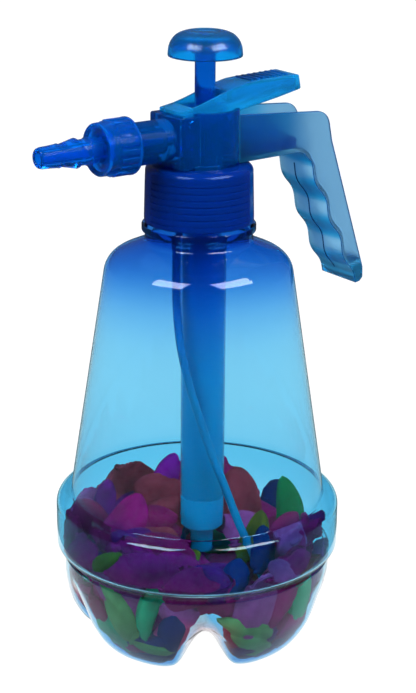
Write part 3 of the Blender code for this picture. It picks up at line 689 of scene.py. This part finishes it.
def make_head():
    cup_r, cup_bore, cup_floor = 16.4, 14.2, 244.5
    sleeve_r, sleeve_top = 6.4, 261.0
    front_x, foot_z, top_z, above = -19.5, 239.0, 263.0, 270.0
    foot = [(0, 233.2), (22.9, 233.2), (22.9, 236.0), (cup_r, 236.0), (cup_r, 240.0), (0, 240.0)]
    head = add_object("head_shell", turned_mesh("head_shell", foot, 96))

    def upright(name, outline):
        """A turned shape on the pump's axis."""
        mesh = turned_mesh(name, outline, 96)
        mesh.transform(Matrix.Translation((PUMP_X * MM, 0, 0)))
        return add_object(name, mesh)

    cup = upright("cup", [(0, 239.2), (cup_r, 239.2), (cup_r, CUP_RIM_Z), (0, CUP_RIM_Z)])
    corners = [(2.0, foot_z, 0), (front_x, foot_z, 1.0), (front_x, top_z, 1.0), (2.0, top_z, 0)]
    box = slab("box", rounded(corners, 4), 12.1)
    barrel = bar("barrel", (-50.6, 0, NOZZLE_Z), (-17.9, 0, NOZZLE_Z), 10.0, 96)
    tongue = block("tongue", (12.0, 242.0), (48.4, 246.4), 11.1)
    pocket = block("pocket", (-17.2, cup_floor + 0.4), (PUMP_X - sleeve_r - 1.3, 272.0), 9.6)
    cavity = [(sleeve_r, cup_floor), (sleeve_r, sleeve_top), (0, sleeve_top), (0, above)]
    cavity = upright("cavity", cavity + [(cup_bore, above), (cup_bore, cup_floor)])
    slot = block("slot", (PUMP_X + 8.0, 254.0), (PUMP_X + cup_r + 2, above), 9.4)
    bore = [(0, -60.0), (5.5, -60.0), (5.5, -43.0), (3.4, -43.0), (3.4, -40.5), (4.5, -39.4)]
    bore += [(4.5, -21.6), (2.1, -21.6), (2.1, -16.0), (0, -16.0)]
    bore = add_object("bore", on_nozzle(turned_mesh("bore", bore, 48)))
    rod_hole = bar("rod_hole", (PUMP_X, 0, 228), (PUMP_X, 0, 268), ROD_R + 0.4, 64)
    tube_hole = bar("tube_hole", (TUBE_X, 0, 228), (TUBE_X, 0, 241), 2.4, 32)
    pivot_hole = bar("pivot_hole", (PIVOT_X, -10.6, PIVOT_Z), (PIVOT_X, 10.6, PIVOT_Z), 2.2, 32)
    cuts = (CUT_MANY, pocket, cavity, slot, bore, rod_hole, tube_hole, pivot_hole)
    carved(head, [(JOIN, cup, box, barrel, tongue), cuts], 0.45, edged=True)
    placed(head.data)
    # The head's bevels take the lighter rim colour, a painted highlight along its edges
    dress(head, HEAD, "bottle_assembly", "deep_blue", "pump_head", edges=RIM_HIGHLIGHT)


# ---------------- grip


WAVE_START = Vector((56.2, 234.0))
WAVE_END = Vector((86.0, 171.5))
WAVE_STEPS = 72
WAVE_HEIGHT = 1.1
WAVE_PITCH = 22.4


def grip_wave(lift):
    """The grip's finger waves, moved out from its edge by lift."""
    direction = (WAVE_END - WAVE_START).normalized()
    across = Vector((-direction.y, direction.x))
    points = []
    for k in range(WAVE_STEPS + 1):
        along = (WAVE_END - WAVE_START).length * k / WAVE_STEPS
        height = lift - 0.35 + WAVE_HEIGHT * math.cos(2 * math.pi * along / WAVE_PITCH)
        points.append(tuple(WAVE_START + direction * along + across * height))
    return points


def make_handle():
    wall, web, foot_z, crest = 1.8, 2.2, 238.9, 1.0
    lean_x, lean_z = 0.9, 0.43
    rear = [(87.3, 168.2, 0), (89.9, 168.6, 1.2), (GRIP_BACK_X, 170.5, 1.8), (GRIP_BACK_X - 0.2, 176.0, 2.0)]
    rear = rounded(rear + [(69.6, 243.0, 4.0), (66.6, 257.7, 8.0), (13.0, 261.8, 0)], 8)
    wave = grip_wave(0.0)
    front = [(13.0, foot_z), (47.0, foot_z + 0.6), (49.6, foot_z + 0.5), (51.6, foot_z - 0.2)]
    front += [(53.2, 237.7), (54.5, 236.3)]
    stations = []
    for across in (-1.0, -0.92, -0.6, -0.3, 0.0, 0.3, 0.6, 0.92, 1.0):
        shift = crest * (1 - abs(across) ** 1.5)
        if abs(across) > 0.9:
            shift = 0.0 if abs(across) == 1 else crest * 0.1
        moves = {len(front) + k: (-shift * lean_x, -shift * lean_z) for k in range(len(wave))}
        stations.append((across * GRIP_HALF_Y, moves))
    handle = add_object("grip_shell", slab_mesh("grip_shell", front + wave + rear, stations))
    inside = [(10.0, foot_z + web), (47.0, foot_z + 0.6 + web), (52.6, 240.7), (56.0, 238.2)]
    inside += grip_wave(web)[4:-12] + [(84.6, 178.6), (96.0, 182.0), (96.0, 270.0), (10.0, 270.0)]
    channel = slab("channel", inside, GRIP_HALF_Y - wall)
    seat = bar("seat", (PUMP_X, 0, 230), (PUMP_X, 0, 270), 16.7, 96)
    carved(handle, [(CUT, channel, seat)], 0.35, angle=40, edged=True)
    placed(handle.data)
    dress(handle, PALE, "bottle_assembly", "pale_blue", "handle", edges=EDGE)
    line = grip_wave(-0.25)[3:-3] + grip_wave(0.5)[-4:2:-1]
    line = slab("grip_line", [(x - lean_x * crest, z - lean_z * crest) for x, z in line], 0.22)
    placed(line.data)
    dress(line, EDGE, "bottle_assembly", "pale_blue")


# ---------------- lever


def make_lever():
    half_y, wall = 8.5, 1.4
    top = [(-16.7, 265.3), (-9.2, 266.6), (-2.9, 268.2), (12.9, 273.2), (20.7, 274.9), (26.0, 275.3)]
    lower = [(51.6, 276.2), (53.0, 269.3), (40.0, 266.6), (27.0, 264.3), (18.7, 263.0), (9.0, 259.6)]
    lower += [(-4.0, 254.6), (-13.2, 247.4), (-15.2, 247.4), (-15.2, 263.6), (-16.7, 263.6)]
    lever = slab("lever_shell", softened(top + lower, 0.8), half_y)
    inner = half_y - wall
    front = slab("front", [(-13.6, 240.0), (10.0, 240.0), (10.0, 267.6), (-13.6, 263.6)], inner)
    rear = [(9.0, 240.0), (51.0, 240.0), (50.2, 274.6), (26.0, 273.8), (21.0, 273.4), (12.9, 271.7)]
    rear = slab("rear", rear + [(12.9, 267.6), (9.0, 267.6)], inner)
    opening = block("opening", (-9.2, 255.0), (10.0, 280.0), inner)
    pins = []
    for side in (-1, 1):
        start, end = (PIVOT_X, side * 7.6, PIVOT_Z), (PIVOT_X, side * 10.0, PIVOT_Z)
        pins.append(bar_mesh("pin", start, end, 1.9, 32))
    pins = add_object("pins", joined("pins", pins))
    ribs = []
    for k in range(7):
        x = 25.0 + 3.4 * k
        z = 275.3 + (x - 26.0) * 0.035
        rib = [(x, z - 0.6), (x + 1.7, z - 0.6), (x + 1.4, z + 0.8), (x + 0.3, z + 0.8)]
        ribs.append(slab_mesh("rib", rib, [(-6.2, {}), (6.2, {})]))
    ribs = joined("ribs", ribs)
    for _ in range(2):
        ribs.materials.append(None)
    for face in ribs.polygons:
        face.material_index = 1
    carved(lever, [(CUT, front, rear, opening), (JOIN, pins, add_object("ribs", ribs))], 0.45, edged=True)
    placed(lever.data)
    dress(lever, MID, "lever", "mid_blue", "trigger_lever", edges=EDGE)


# ---------------- nozzle


def make_nozzle():
    rear_x, rib_x, front_x, bore, face = -40.0, -50.6, -57.1, 10.35, -54.6
    nut = [(6.3, front_x + 1.6), (9.8, front_x + 0.5), (11.0, front_x), (11.8, front_x + 0.1)]
    nut += [(12.2, front_x + 0.7), (12.4, rib_x), (12.6, -41.9), (12.9, -41.4), (13.3, -41.3), (13.4, -41.0)]
    nut += [(13.4, -40.3), (13.1, rear_x), (bore, rear_x), (bore, face), (6.3, face)]
    body = add_object("nut_shell", turned_mesh("nut_shell", nut, 120))
    body.data.transform(Matrix.Rotation(math.radians(90), 4, "Y"))
    ribs = []
    for k in range(NUT_RIBS):
        outline = [(rib_x, 11.9), (-41.6, 11.9), (-41.6, 13.2), (rib_x, 13.2)]
        rib = slab_mesh("nut_rib", outline, [(-1.1, {}), (1.1, {})])
        rib.transform(Matrix.Rotation(2 * math.pi * k / NUT_RIBS, 4, "X"))
        ribs.append(rib)
    carved(body, [(JOIN, add_object("nut_ribs", joined("nut_ribs", ribs)))], 0.2)
    body.data.transform(Matrix.Translation((AXIS_X * MM, 0, NOZZLE_Z * MM)))
    dress(body, NUT, "nozzle_ring", "deep_blue", "nozzle_nut")

    flange_x = -52.4
    tip = [(2.6, flange_x), (9.6, flange_x), (9.6, -54.3), (5.9, -54.3), (5.9, -60.4), (6.6, -60.9)]
    tip += [(6.6, -62.3), (5.95, -62.8), (5.9, -66.6), (6.93, -68.3), (6.8, -68.9), (5.95, -72.5)]
    tip += [(5.2, -76.0), (5.05, -76.5), (5.56, -77.5), (5.4, -78.3), (5.1, -82.0), (4.95, -86.0)]
    tip += [(4.6, -87.3), (4.1, TIP_END_X), (3.0, TIP_END_X), (2.6, -87.4)]
    mesh = placed(on_nozzle(turned_mesh("barbed_tip", softened(tip, 0.35), 96)))
    dress(add_object("barbed_tip", mesh), NUT, "bottle_assembly", "deep_blue", "nozzle_tip")


# ---------------- plunger and pump


def pump_piece(name, profile, segments, *look):
    """A piece turned on the pump's axis. look is what dress takes after the object."""
    return dress(add_object(name, placed(turned_mesh(name, profile, segments), PUMP_X)), *look)


def make_plunger():
    outer = [(0, 299.3), (5.0, 299.55), (7.6, KNOB_TOP_Z), (11.0, 299.3), (13.9, 297.8), (16.0, 295.3)]
    outer = smooth_line(outer + [(17.1, 292.4), (KNOB_R, 288.9)], 5)
    rim = [(KNOB_R - 0.15, KNOB_RIM_Z + 0.1), (KNOB_R - 0.5, KNOB_RIM_Z), (KNOB_R - 1.3, KNOB_RIM_Z)]
    rim += [(KNOB_R - 1.6, KNOB_RIM_Z + 0.3)]
    inner = [(KNOB_R - 1.7, 289.0), (15.4, 292.2), (14.4, 294.4), (12.6, 296.3), (10.0, 297.4), (6.9, 297.5)]
    boss = [(6.6, 297.0), (6.6, 290.3), (6.3, 290.0), (ROD_R + 0.3, 290.0), (ROD_R + 0.3, 297.6), (0, 297.6)]
    profile = outer + rim + smooth_line(inner, 4) + boss
    pump_piece("knob_shell", profile, 128, KNOB, "plunger", "mid_blue", "plunger_knob")
    low = low_of("plunger_rod").z
    rod = [(0, low), (ROD_R - 0.3, low), (ROD_R, low + 0.3), (ROD_R, 270.2), (ROD_R - 0.12, 270.3)]
    rod += [(ROD_R - 0.12, 270.6), (ROD_R, 270.7), (ROD_R, 297.3), (0, 297.3)]
    pump_piece("rod_bar", rod, 96, RODS, "plunger", "mid_blue", "plunger_rod")


def make_pump():
    tube = [(9.4, CYLINDER_FOOT_Z), (10.8, CYLINDER_FOOT_Z), (10.8, 230.4), (12.6, 230.4)]
    tube = softened(tube + [(12.6, CYLINDER_TOP_Z), (9.4, CYLINDER_TOP_Z)], 0.25)
    pump_piece("pump_barrel", tube, 96, PUMP, "bottle_assembly", "pump_blue", "pump_cylinder")
    top = CYLINDER_FOOT_Z - GAP
    cap = [(3.0, 40.6), (5.4, 40.6), (5.5, 44.0), (5.8, 44.3), (5.8, 53.2), (9.6, 53.2), (10.7, 54.6)]
    cap += [(10.8, top), (9.1, top), (9.1, 74.2), (7.2, 74.2), (7.2, 57.0), (3.0, 57.0)]
    cap = softened(cap, 0.35)
    pump_piece("valve_end", cap, 96, NIPPLE, "bottle_assembly", "pump_blue", "check_valve_cap")


def make_dip_tube():
    route = [(TUBE_X, 0, 240.4), (TUBE_X, 0, 215), (TUBE_X, 0, 190), (-13.6, -1.4, 170), (-13.6, -5.2, 150)]
    route += [(-10.5, -9.8, 128), (-3.2, -16.6, 97.5), (0.7, -22.7, 80.7), (3.7, -29.7, 64.2)]
    route += [(6.7, -36.8, 50.7), (8.8, -43.3, 38.2)]
    line = smooth_line(route, 8)
    bm = bmesh.new()
    outer, inner = [], []
    for k, point in enumerate(line):
        along = Vector(line[min(k + 1, len(line) - 1)] - line[max(k - 1, 0)]).normalized()
        side = along.cross(Vector((0, 1, 0))).normalized()
        up = side.cross(along)
        for radius, rings in ((2.05, outer), (1.2, inner)):
            ring = []
            for angle in np.linspace(0, 2 * math.pi, 24, endpoint=False):
                offset = (side * math.cos(angle) + up * math.sin(angle)) * radius
                ring.append(bm.verts.new((Vector(point) + offset + Vector((AXIS_X, 0, 0))) * MM))
            rings.append(ring)
    bridge(bm, outer + inner[::-1] + outer[:1])
    tube = add_object("bent_tube", to_mesh("bent_tube", bm))
    dress(tube, TUBE, "bottle_assembly", "pump_blue", "dip_tube")


# ---------------- balloons


def limp_grid(rng, length, width, thick):
    """A limp balloon along X as rows of points: a rolled lip, a narrow neck and a flat, creased body."""
    rows, sides, lip, neck_r = 32, 28, 0.07, 2.3
    twist, pucker, sway = (rng.uniform(*limits) for limits in ((-0.35, 0.35), (0, 6.28), (-0.12, 0.12)))
    angle = np.linspace(0, 2 * math.pi, sides, endpoint=False)
    grid = np.zeros((rows + 1, sides, 3))
    for i in range(rows + 1):
        t = i / rows
        if t < lip:
            w = h = neck_r + 0.6 * math.sin(t / lip * math.pi)
        else:
            s = (t - lip) / (1 - lip)
            swell = max(0.0, math.sin(math.pi * s**0.8)) ** 0.55
            w = swell * width / 2 * (0.72 + 0.34 * s) + neck_r * (1 - s) ** 4
            h = swell * thick / 2 + 1.6 * (1 - s) ** 4
        if i == rows:
            w, h = 0.25, 0.15
        crease = 1 + 0.07 * np.sin(3 * angle + pucker + 4 * t) + 0.04 * np.sin(8 * angle + 9 * t + pucker)
        y = w * np.cos(angle) * crease
        z = h * np.sin(angle) * crease + min(h, 0.8) * np.sin(y * 0.45 + 5 * t + pucker)
        roll = twist * (t - 0.5)
        grid[i, :, 0] = (t - 0.5) * length
        grid[i, :, 1] = y * math.cos(roll) - z * math.sin(roll) + sway * length * math.sin(3 * t)
        grid[i, :, 2] = y * math.sin(roll) + z * math.cos(roll)
    return grid


def table_at(table, row, angle):
    """A grid's value between its rows and directions."""
    row = np.clip(row, 0, len(table) - 1.001)
    column = ((angle - ANGLES[0]) / (2 * math.pi) * BOTTLE_SEGMENTS) % BOTTLE_SEGMENTS
    i, j = np.floor(row).astype(int), np.floor(column).astype(int) % BOTTLE_SEGMENTS
    a, b = (row - i)[..., None], (column - np.floor(column))[..., None]
    after = (j + 1) % BOTTLE_SEGMENTS
    upper = table[i, j] * (1 - b) + table[i, after] * b
    lower = table[i + 1, j] * (1 - b) + table[i + 1, after] * b
    return upper * (1 - a) + lower * a


def row_at(angle, height):
    """The row of the bottle's inner face at this height in this direction, coming down from the shoulder."""
    heights = table_at(INNER, np.arange(len(INNER) - 1.0), np.full(len(INNER) - 1, angle))[:, 2]
    below = np.nonzero(heights <= height)[0]
    if not len(below):
        return float(np.argmin(heights))
    k = max(below[0], 1)
    return k - 1 + (heights[k - 1] - height) / max(heights[k - 1] - heights[k], 1e-6)


def against_wall(grid, direction, height, roll, depth):
    """Lays a balloon flat on the bottle's inner face, its end turned by roll."""
    angle = math.radians(CAMERA_AZIMUTH + direction)
    row = row_at(angle, height)
    count = len(INNER) - 1
    line = table_at(INNER, np.arange(float(count)), np.full(count, angle))
    run = np.concatenate([[0], np.cumsum(np.linalg.norm(np.diff(line, axis=0), axis=1))])
    here = table_at(INNER, np.array([row]), np.array([angle]))[0]
    radius = max(float(np.hypot(here[0], here[1])), 12.0)
    turn = math.radians(roll)
    up = grid[..., 0] * math.cos(turn) - grid[..., 1] * math.sin(turn)
    side = grid[..., 0] * math.sin(turn) + grid[..., 1] * math.cos(turn)
    rows = np.interp(np.interp(row, np.arange(count), run) - up, run, np.arange(count))
    angles = angle + side / radius
    lift = depth + np.maximum(0.0, grid[..., 2] + np.abs(grid[..., 2]).max() * 0.8)
    place = table_at(INNER, rows, angles)
    normal = table_at(NORMALS, rows, angles)
    return place - normal * (0.5 + lift)[..., None]


def kept_inside(grid):
    """Pushes points in from the bottle's wall and floor, and out of the pump's way."""
    x, y, z = grid[..., 0], grid[..., 1], grid[..., 2]
    for _ in range(2):
        wall = np.interp(z, [12, 20, 30, 45, 70, 74, 190], [48, 56, 61, 63, 67, 60.5, 42.5])
        scale = np.minimum(1.0, (wall - 0.8) / np.maximum(np.hypot(x, y), 1e-6))
        x, y = x * scale, y * scale
        away_x, away = x - PUMP_X, np.hypot(x - PUMP_X, y)
        pump = np.where(z > 52.0, 11.6, 6.4) * (z > 38.0)
        push = np.maximum(1.0, pump / np.maximum(away, 0.5))
        x, y = PUMP_X + away_x * push, y * push
        z = np.maximum(z, 12.0)
    return np.stack([x, y, z], axis=-1)


def heaped(grid, direction, ring, height, roll, lean):
    """Puts a balloon in the heap: its flat side leans back from upright, and its end turns by roll."""
    facing, angle, tilt = (math.radians(a) for a in (CAMERA_AZIMUTH, CAMERA_AZIMUTH + direction, lean))
    toward = Vector((math.cos(facing), math.sin(facing), 0))
    normal = toward * math.cos(tilt) + Vector((0, 0, 1)) * math.sin(tilt)
    right = Vector((0, 0, 1)).cross(toward)
    top = normal.cross(right)
    turn = math.radians(roll)
    along = top * math.cos(turn) + right * math.sin(turn)
    across = normal.cross(along)
    frame_axes = np.array([along, across, normal])
    place = np.array([ring * math.cos(angle), ring * math.sin(angle), height])
    return kept_inside(grid @ frame_axes + place)


# Direction from the camera's side, height, roll, length, width, thickness, depth behind the wall, colour
WALL_BALLOONS = [
    (-62, 53, 70, 38, 26, 7, 0.0, "magenta"),
    (-24, 55, 82, 42, 22, 7, 0.0, "magenta"),
    (-40, 57, 60, 20, 9, 5, 0.0, "olive"),
    (-2, 47, 65, 40, 28, 7, 0.6, "magenta"),
    (6, 49, -30, 28, 20, 7, 1.5, "violet"),
    (-40, 27, -32, 36, 18, 6, 0.0, "sage"),
    (-24, 16, -70, 36, 12, 6, 0.0, "sage"),
    (-18, 35, 24, 38, 12, 5, 0.0, "teal"),
    (-31, 40, 8, 40, 26, 7, 2.5, "mauve"),
    (-10, 30, -35, 36, 22, 7, 2.0, "mauve"),
    (28, 32, 20, 40, 26, 7, 0.5, "mauve"),
    (44, 33, 48, 36, 20, 7, 0.3, "magenta"),
    (24, 17, -62, 38, 20, 6, 0.0, "sage"),
    (58, 31, 30, 28, 20, 6, 0.0, "teal"),
    (50, 17, 60, 28, 16, 6, 0.0, "magenta"),
    (38, 10, 80, 32, 16, 6, 0.5, "violet"),
    (-80, 36, 20, 36, 24, 7, 0.0, "maroon"),
    (-92, 26, -20, 34, 20, 7, 0.0, "navy"),
    (76, 40, -20, 36, 24, 7, 0.0, "violet"),
    (88, 28, 20, 34, 22, 7, 0.0, "magenta"),
    (-30, 5, 80, 30, 14, 6, 0.0, "navy"),
    (-44, 13, 40, 28, 16, 6, 0.5, "teal"),
    (54, 46, 80, 26, 17, 6, 0.0, "brown"),
    (74, 54, 30, 26, 18, 7, 10.0, "magenta"),
    (40, 52, -50, 24, 14, 6, 0.0, "mauve"),
    (44, 50, 80, 34, 18, 7, 0.8, "magenta"),
    (-50, 42, -60, 38, 24, 7, 1.5, "mauve"),
    (-74, 55, 10, 34, 24, 7, 0.5, "maroon"),
    (-22, 4, 84, 26, 20, 6, 0.0, "navy"),
    (-46, 9, -64, 30, 16, 6, 0.0, "teal"),
    (26, 12, -56, 34, 18, 6, 0.0, "sage"),
    (44, 5, 84, 30, 22, 6, 0.2, "violet"),
    (58, 12, 60, 30, 18, 6, 0.0, "magenta"),
    (-10, 21, 12, 30, 18, 6, 0.0, "navy"),
]

# One of each of these lies in every foot: direction from the foot's middle, height, roll, colour
TOE_ROLLS = [
    (-13, 8, 70, "violet"),
    (0, 5, 88, "magenta"),
    (13, 8, 108, "navy"),
    (-23, 14, 10, "maroon"),
    (23, 14, -10, "mauve"),
]

# Direction from the camera's side, ring, height, roll, lean, length, width, thickness, colour
HEAP_BALLOONS = [
    (-84, 46, 67, 10, 20, 24, 12, 6, "violet"),
    (-56, 45, 66, 35, 30, 34, 20, 8, "magenta"),
    (-75, 54, 58, -22, 20, 30, 20, 8, "maroon"),
    (-44, 33, 62, 66, 40, 30, 18, 8, "maroon"),
    (-159, 38, 61, 8, 10, 32, 15, 8, "violet_bright"),
    (-105, 24, 55, 66, 30, 40, 26, 10, "brown"),
    (-150, 30, 54, -60, 35, 40, 26, 9, "brown"),
    (118, 27, 60, -14, 22, 38, 24, 9, "brown"),
    (82, 43, 61, -3, 5, 42, 15, 8, "green"),
    (46, 43, 54, 5, 30, 24, 13, 7, "navy"),
    (60, 49, 63, 40, 30, 20, 11, 6, "maroon"),
    (62, 30, 54, 20, 55, 32, 13, 6, "olive"),
    (-12, 42, 52, 60, 50, 24, 13, 6, "olive"),
    (12, 36, 40, 80, 50, 36, 22, 8, "violet"),
    (20, 50, 46, 20, 40, 22, 15, 7, "navy"),
    (2, 44, 46, 70, 50, 20, 12, 6, "maroon"),
    (-48, 50, 60, 75, 40, 32, 16, 7, "violet"),
    (-38, 37, 58, 80, 45, 28, 16, 7, "brown"),
    (-20, 45, 56, -70, 45, 34, 18, 8, "maroon"),
    (-70, 34, 55, -40, 50, 34, 22, 8, "violet"),
    (75, 34, 52, 50, 50, 34, 20, 8, "maroon"),
    (150, 42, 48, 40, 70, 34, 22, 8, "magenta"),
    (-170, 46, 44, -30, 70, 34, 22, 8, "maroon"),
    (-130, 46, 46, 20, 70, 34, 22, 8, "violet"),
    (120, 36, 50, -40, 65, 34, 22, 8, "magenta"),
]


# Above this height nothing loose lies on one side of the wall, in front of the tube's end or by the valve
BARE_FROM_Z = 50
BARE_SIDES = ((5, 40), (62, 168))
VALVE_SIDE = 60

# Fillers behind the wall as (height, how many around, depth), and their colours in turn
FILLER_ROWS = ((8, 10, 4.5), (22, 11, 5.0), (36, 12, 5.5), (50, 12, 5.0), (60, 9, 7.0))
FILLERS = ["magenta", "violet", "maroon", "magenta", "brown", "navy"]
FILLERS += ["magenta", "violet", "mauve", "maroon", "teal"]
SLOT_OF = {"olive": "green", "sage": "green", "mauve": "magenta", "violet_bright": "violet"}


def make_balloons():
    rng = random.Random(11)
    built = []
    for direction, height, roll, length, width, thick, depth, colour in WALL_BALLOONS:
        grid = against_wall(limp_grid(rng, length, width, thick), direction, height, roll, depth)
        built.append((grid, colour))
    for direction, ring, height, roll, lean, length, width, thick, colour in HEAP_BALLOONS:
        grid = heaped(limp_grid(rng, length, width, thick), direction, ring, height, roll, lean)
        built.append((grid, colour))
    for foot in range(FEET):
        for aside, height, roll, colour in TOE_ROLLS:
            direction = FOOT_PHASE + foot * 360 / FEET + aside - CAMERA_AZIMUTH
            grid = against_wall(limp_grid(rng, 34, 24, 6), direction, height, roll, 0.9)
            built.append((grid, colour))
    count = 0
    for height, around, depth in FILLER_ROWS:
        for k in range(around):
            count += 1
            grid = limp_grid(rng, rng.uniform(32, 38), rng.uniform(22, 26), rng.uniform(6, 8))
            direction = 360 * (k + rng.uniform(0.2, 0.8)) / around
            roll = rng.uniform(0, 360)
            if height >= BARE_FROM_Z and any(low < direction < high for low, high in BARE_SIDES):
                continue
            grid = against_wall(grid, direction, height, roll, depth)
            built.append((grid, FILLERS[(count * 4) % (len(FILLERS) - (height >= BARE_FROM_Z))]))
    for height in (26, 38, 50):
        for k in range(6):
            count += 1
            grid = limp_grid(rng, rng.uniform(34, 40), rng.uniform(24, 28), rng.uniform(8, 11))
            direction = 60 * (k + rng.uniform(0.2, 0.8))
            roll, lean = rng.uniform(0, 360), rng.uniform(40, 90)
            if height >= BARE_FROM_Z and (direction < VALVE_SIDE or direction > 360 - VALVE_SIDE):
                continue
            grid = heaped(grid, direction, 27, height, roll, lean)
            built.append((grid, FILLERS[(count * 4) % len(FILLERS)]))
    cad = [f"balloon_{number:02d}" for number in range(1, 29)]
    for number, (grid, colour) in enumerate(built):
        name = f"limp_{number + 1:03d}"
        balloon = add_object(name, loft(name, grid + np.array([AXIS_X, 0, 0]), 60))
        slot = "balloon_" + SLOT_OF.get(colour, colour)
        dress(balloon, LATEX[colour], "bottle_assembly", slot, *cad[number : number + 1])


# ---------------- studio


def make_studio():
    glow = {"Emission_Color": (1, 1, 1, 1), "Emission_Strength": 1.02}
    dull = {"Base_Color": (0.03, 0.03, 0.03, 1), "Roughness": 0.8, "Specular_IOR_Level": 0.1}
    material = new_material("floor", **dull, **glow)[0]

    def staged(name, create, place, **shape):
        bm = bmesh.new()
        create(bm, **shape)
        obj = add_object(name, to_mesh(name, bm))
        obj.location = place
        obj.data.materials.append(material)
        return obj

    make = bmesh.ops
    floor = staged("floor", make.create_grid, (0, 0, -0.0005), x_segments=1, y_segments=1, size=60)
    floor.visible_glossy = False
    beside = (AXIS_X * MM, 0, -0.001)
    table = staged("table", make.create_circle, beside, cap_ends=True, segments=96, radius=0.15)
    wall = {"segments": 64, "radius1": 9, "radius2": 9, "depth": 12}
    backdrop = staged("backdrop", make.create_cone, (0, 0, 5.99), **wall)
    # Only the camera sees the backdrop, and the object doesn't
    backdrop.visible_glossy = backdrop.visible_diffuse = backdrop.visible_transmission = False
    world = bpy.data.worlds.new("studio")
    bpy.context.scene.world = world
    world.use_nodes = True
    tree = world.node_tree
    height = part_of(tree, tree.nodes.new("ShaderNodeTexCoord").outputs["Generated"], "Z")
    level = ranged(tree, height, -0.035, -0.020, 0.05, 0.11)
    tree.links.new(level, tree.nodes["Background"].inputs["Strength"])
    tree.nodes["Background"].inputs["Color"].default_value = (0.9, 0.95, 1, 1)
    for name, azimuth, tilt, distance, size, power in (
        ("softbox_left", CAMERA_AZIMUTH - 42, 45, 1.0, (0.62, 0.46), 22.0),
        ("softbox_right", CAMERA_AZIMUTH + 52, 45, 1.0, (0.72, 0.46), 25.0),
        ("softbox_top", CAMERA_AZIMUTH + 180, 62, 1.5, (1.2, 1.2), 7.0),
    ):
        light = bpy.data.lights.new(name, "AREA")
        light.shape = "RECTANGLE"
        light.size, light.size_y = size
        light.energy = power
        lamp = add_object(name, light)
        turn, up = math.radians(azimuth), math.radians(tilt)
        reach = distance * math.cos(up)
        aim = Vector((AXIS_X * MM, 0, 0.15))
        way = (reach * math.cos(turn), reach * math.sin(turn), distance * math.sin(up))
        lamp.location = aim + Vector(way)
        lamp.rotation_euler = (aim - lamp.location).to_track_quat("-Z", "Y").to_euler()
        lamp.visible_glossy = name != "softbox_top"


def make_camera():
    """A camera that stands 854 mm off and 436 mm up and looks down, turned 35.69 degrees about the bottle."""
    turn, pitch, roll, yaw = (math.radians(a) for a in (35.69, 18.661, 0.4734, 0.3212))
    distance, height, lens = 0.853879, 0.435883, 96.694
    level = math.cos(pitch)
    forward = Vector((math.sin(yaw) * level, math.cos(yaw) * level, -math.sin(pitch)))
    right = Vector((math.cos(yaw), -math.sin(yaw), 0))
    up = right.cross(forward)
    side = math.cos(roll) * right + math.sin(roll) * up
    top = -math.sin(roll) * right + math.cos(roll) * up
    pose = Matrix((side, top, -forward)).transposed().to_4x4()
    pose.translation = Vector((0, -distance, height))
    camera = bpy.data.cameras.new("camera")
    camera.lens = lens
    camera.sensor_width = 36
    camera.clip_start = 0.01
    rig = add_object("camera", camera)
    rig.matrix_world = Matrix.Translation((AXIS_X * MM, 0, 0)) @ Matrix.Rotation(-turn, 4, "Z") @ pose
    bpy.context.scene.camera = rig


def make_spring():
    """The valve's coil spring: a steel copy of the CAD spring, which it stands in for."""
    spring = add_object("spring_wire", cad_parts["valve_spring"].data.copy())
    spring.data.materials.clear()
    spring.data.materials.append(STEEL)
    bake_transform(spring)
    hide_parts("valve_spring")


def paint_cad():
    """The small CAD pieces inside the head and the pump keep their shape and get their materials."""
    rubber = ("neck_gasket", "nozzle_gasket", "valve_seal", "piston_ring", "check_valve_disc")
    kept = {name: RUBBER for name in rubber}
    kept.update(valve_pin=WHITE, piston=MID, cylinder_bush=PUMP)
    for name, material in kept.items():
        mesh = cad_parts[name].data
        mesh.materials.clear()
        mesh.materials.append(material)


make_camera()
make_studio()
make_bottle()
make_collar()
make_head()
make_handle()
make_lever()
make_nozzle()
make_plunger()
make_pump()
make_dip_tube()
make_balloons()
make_spring()
paint_cad()
bpy.context.scene.view_settings.view_transform = "Standard"
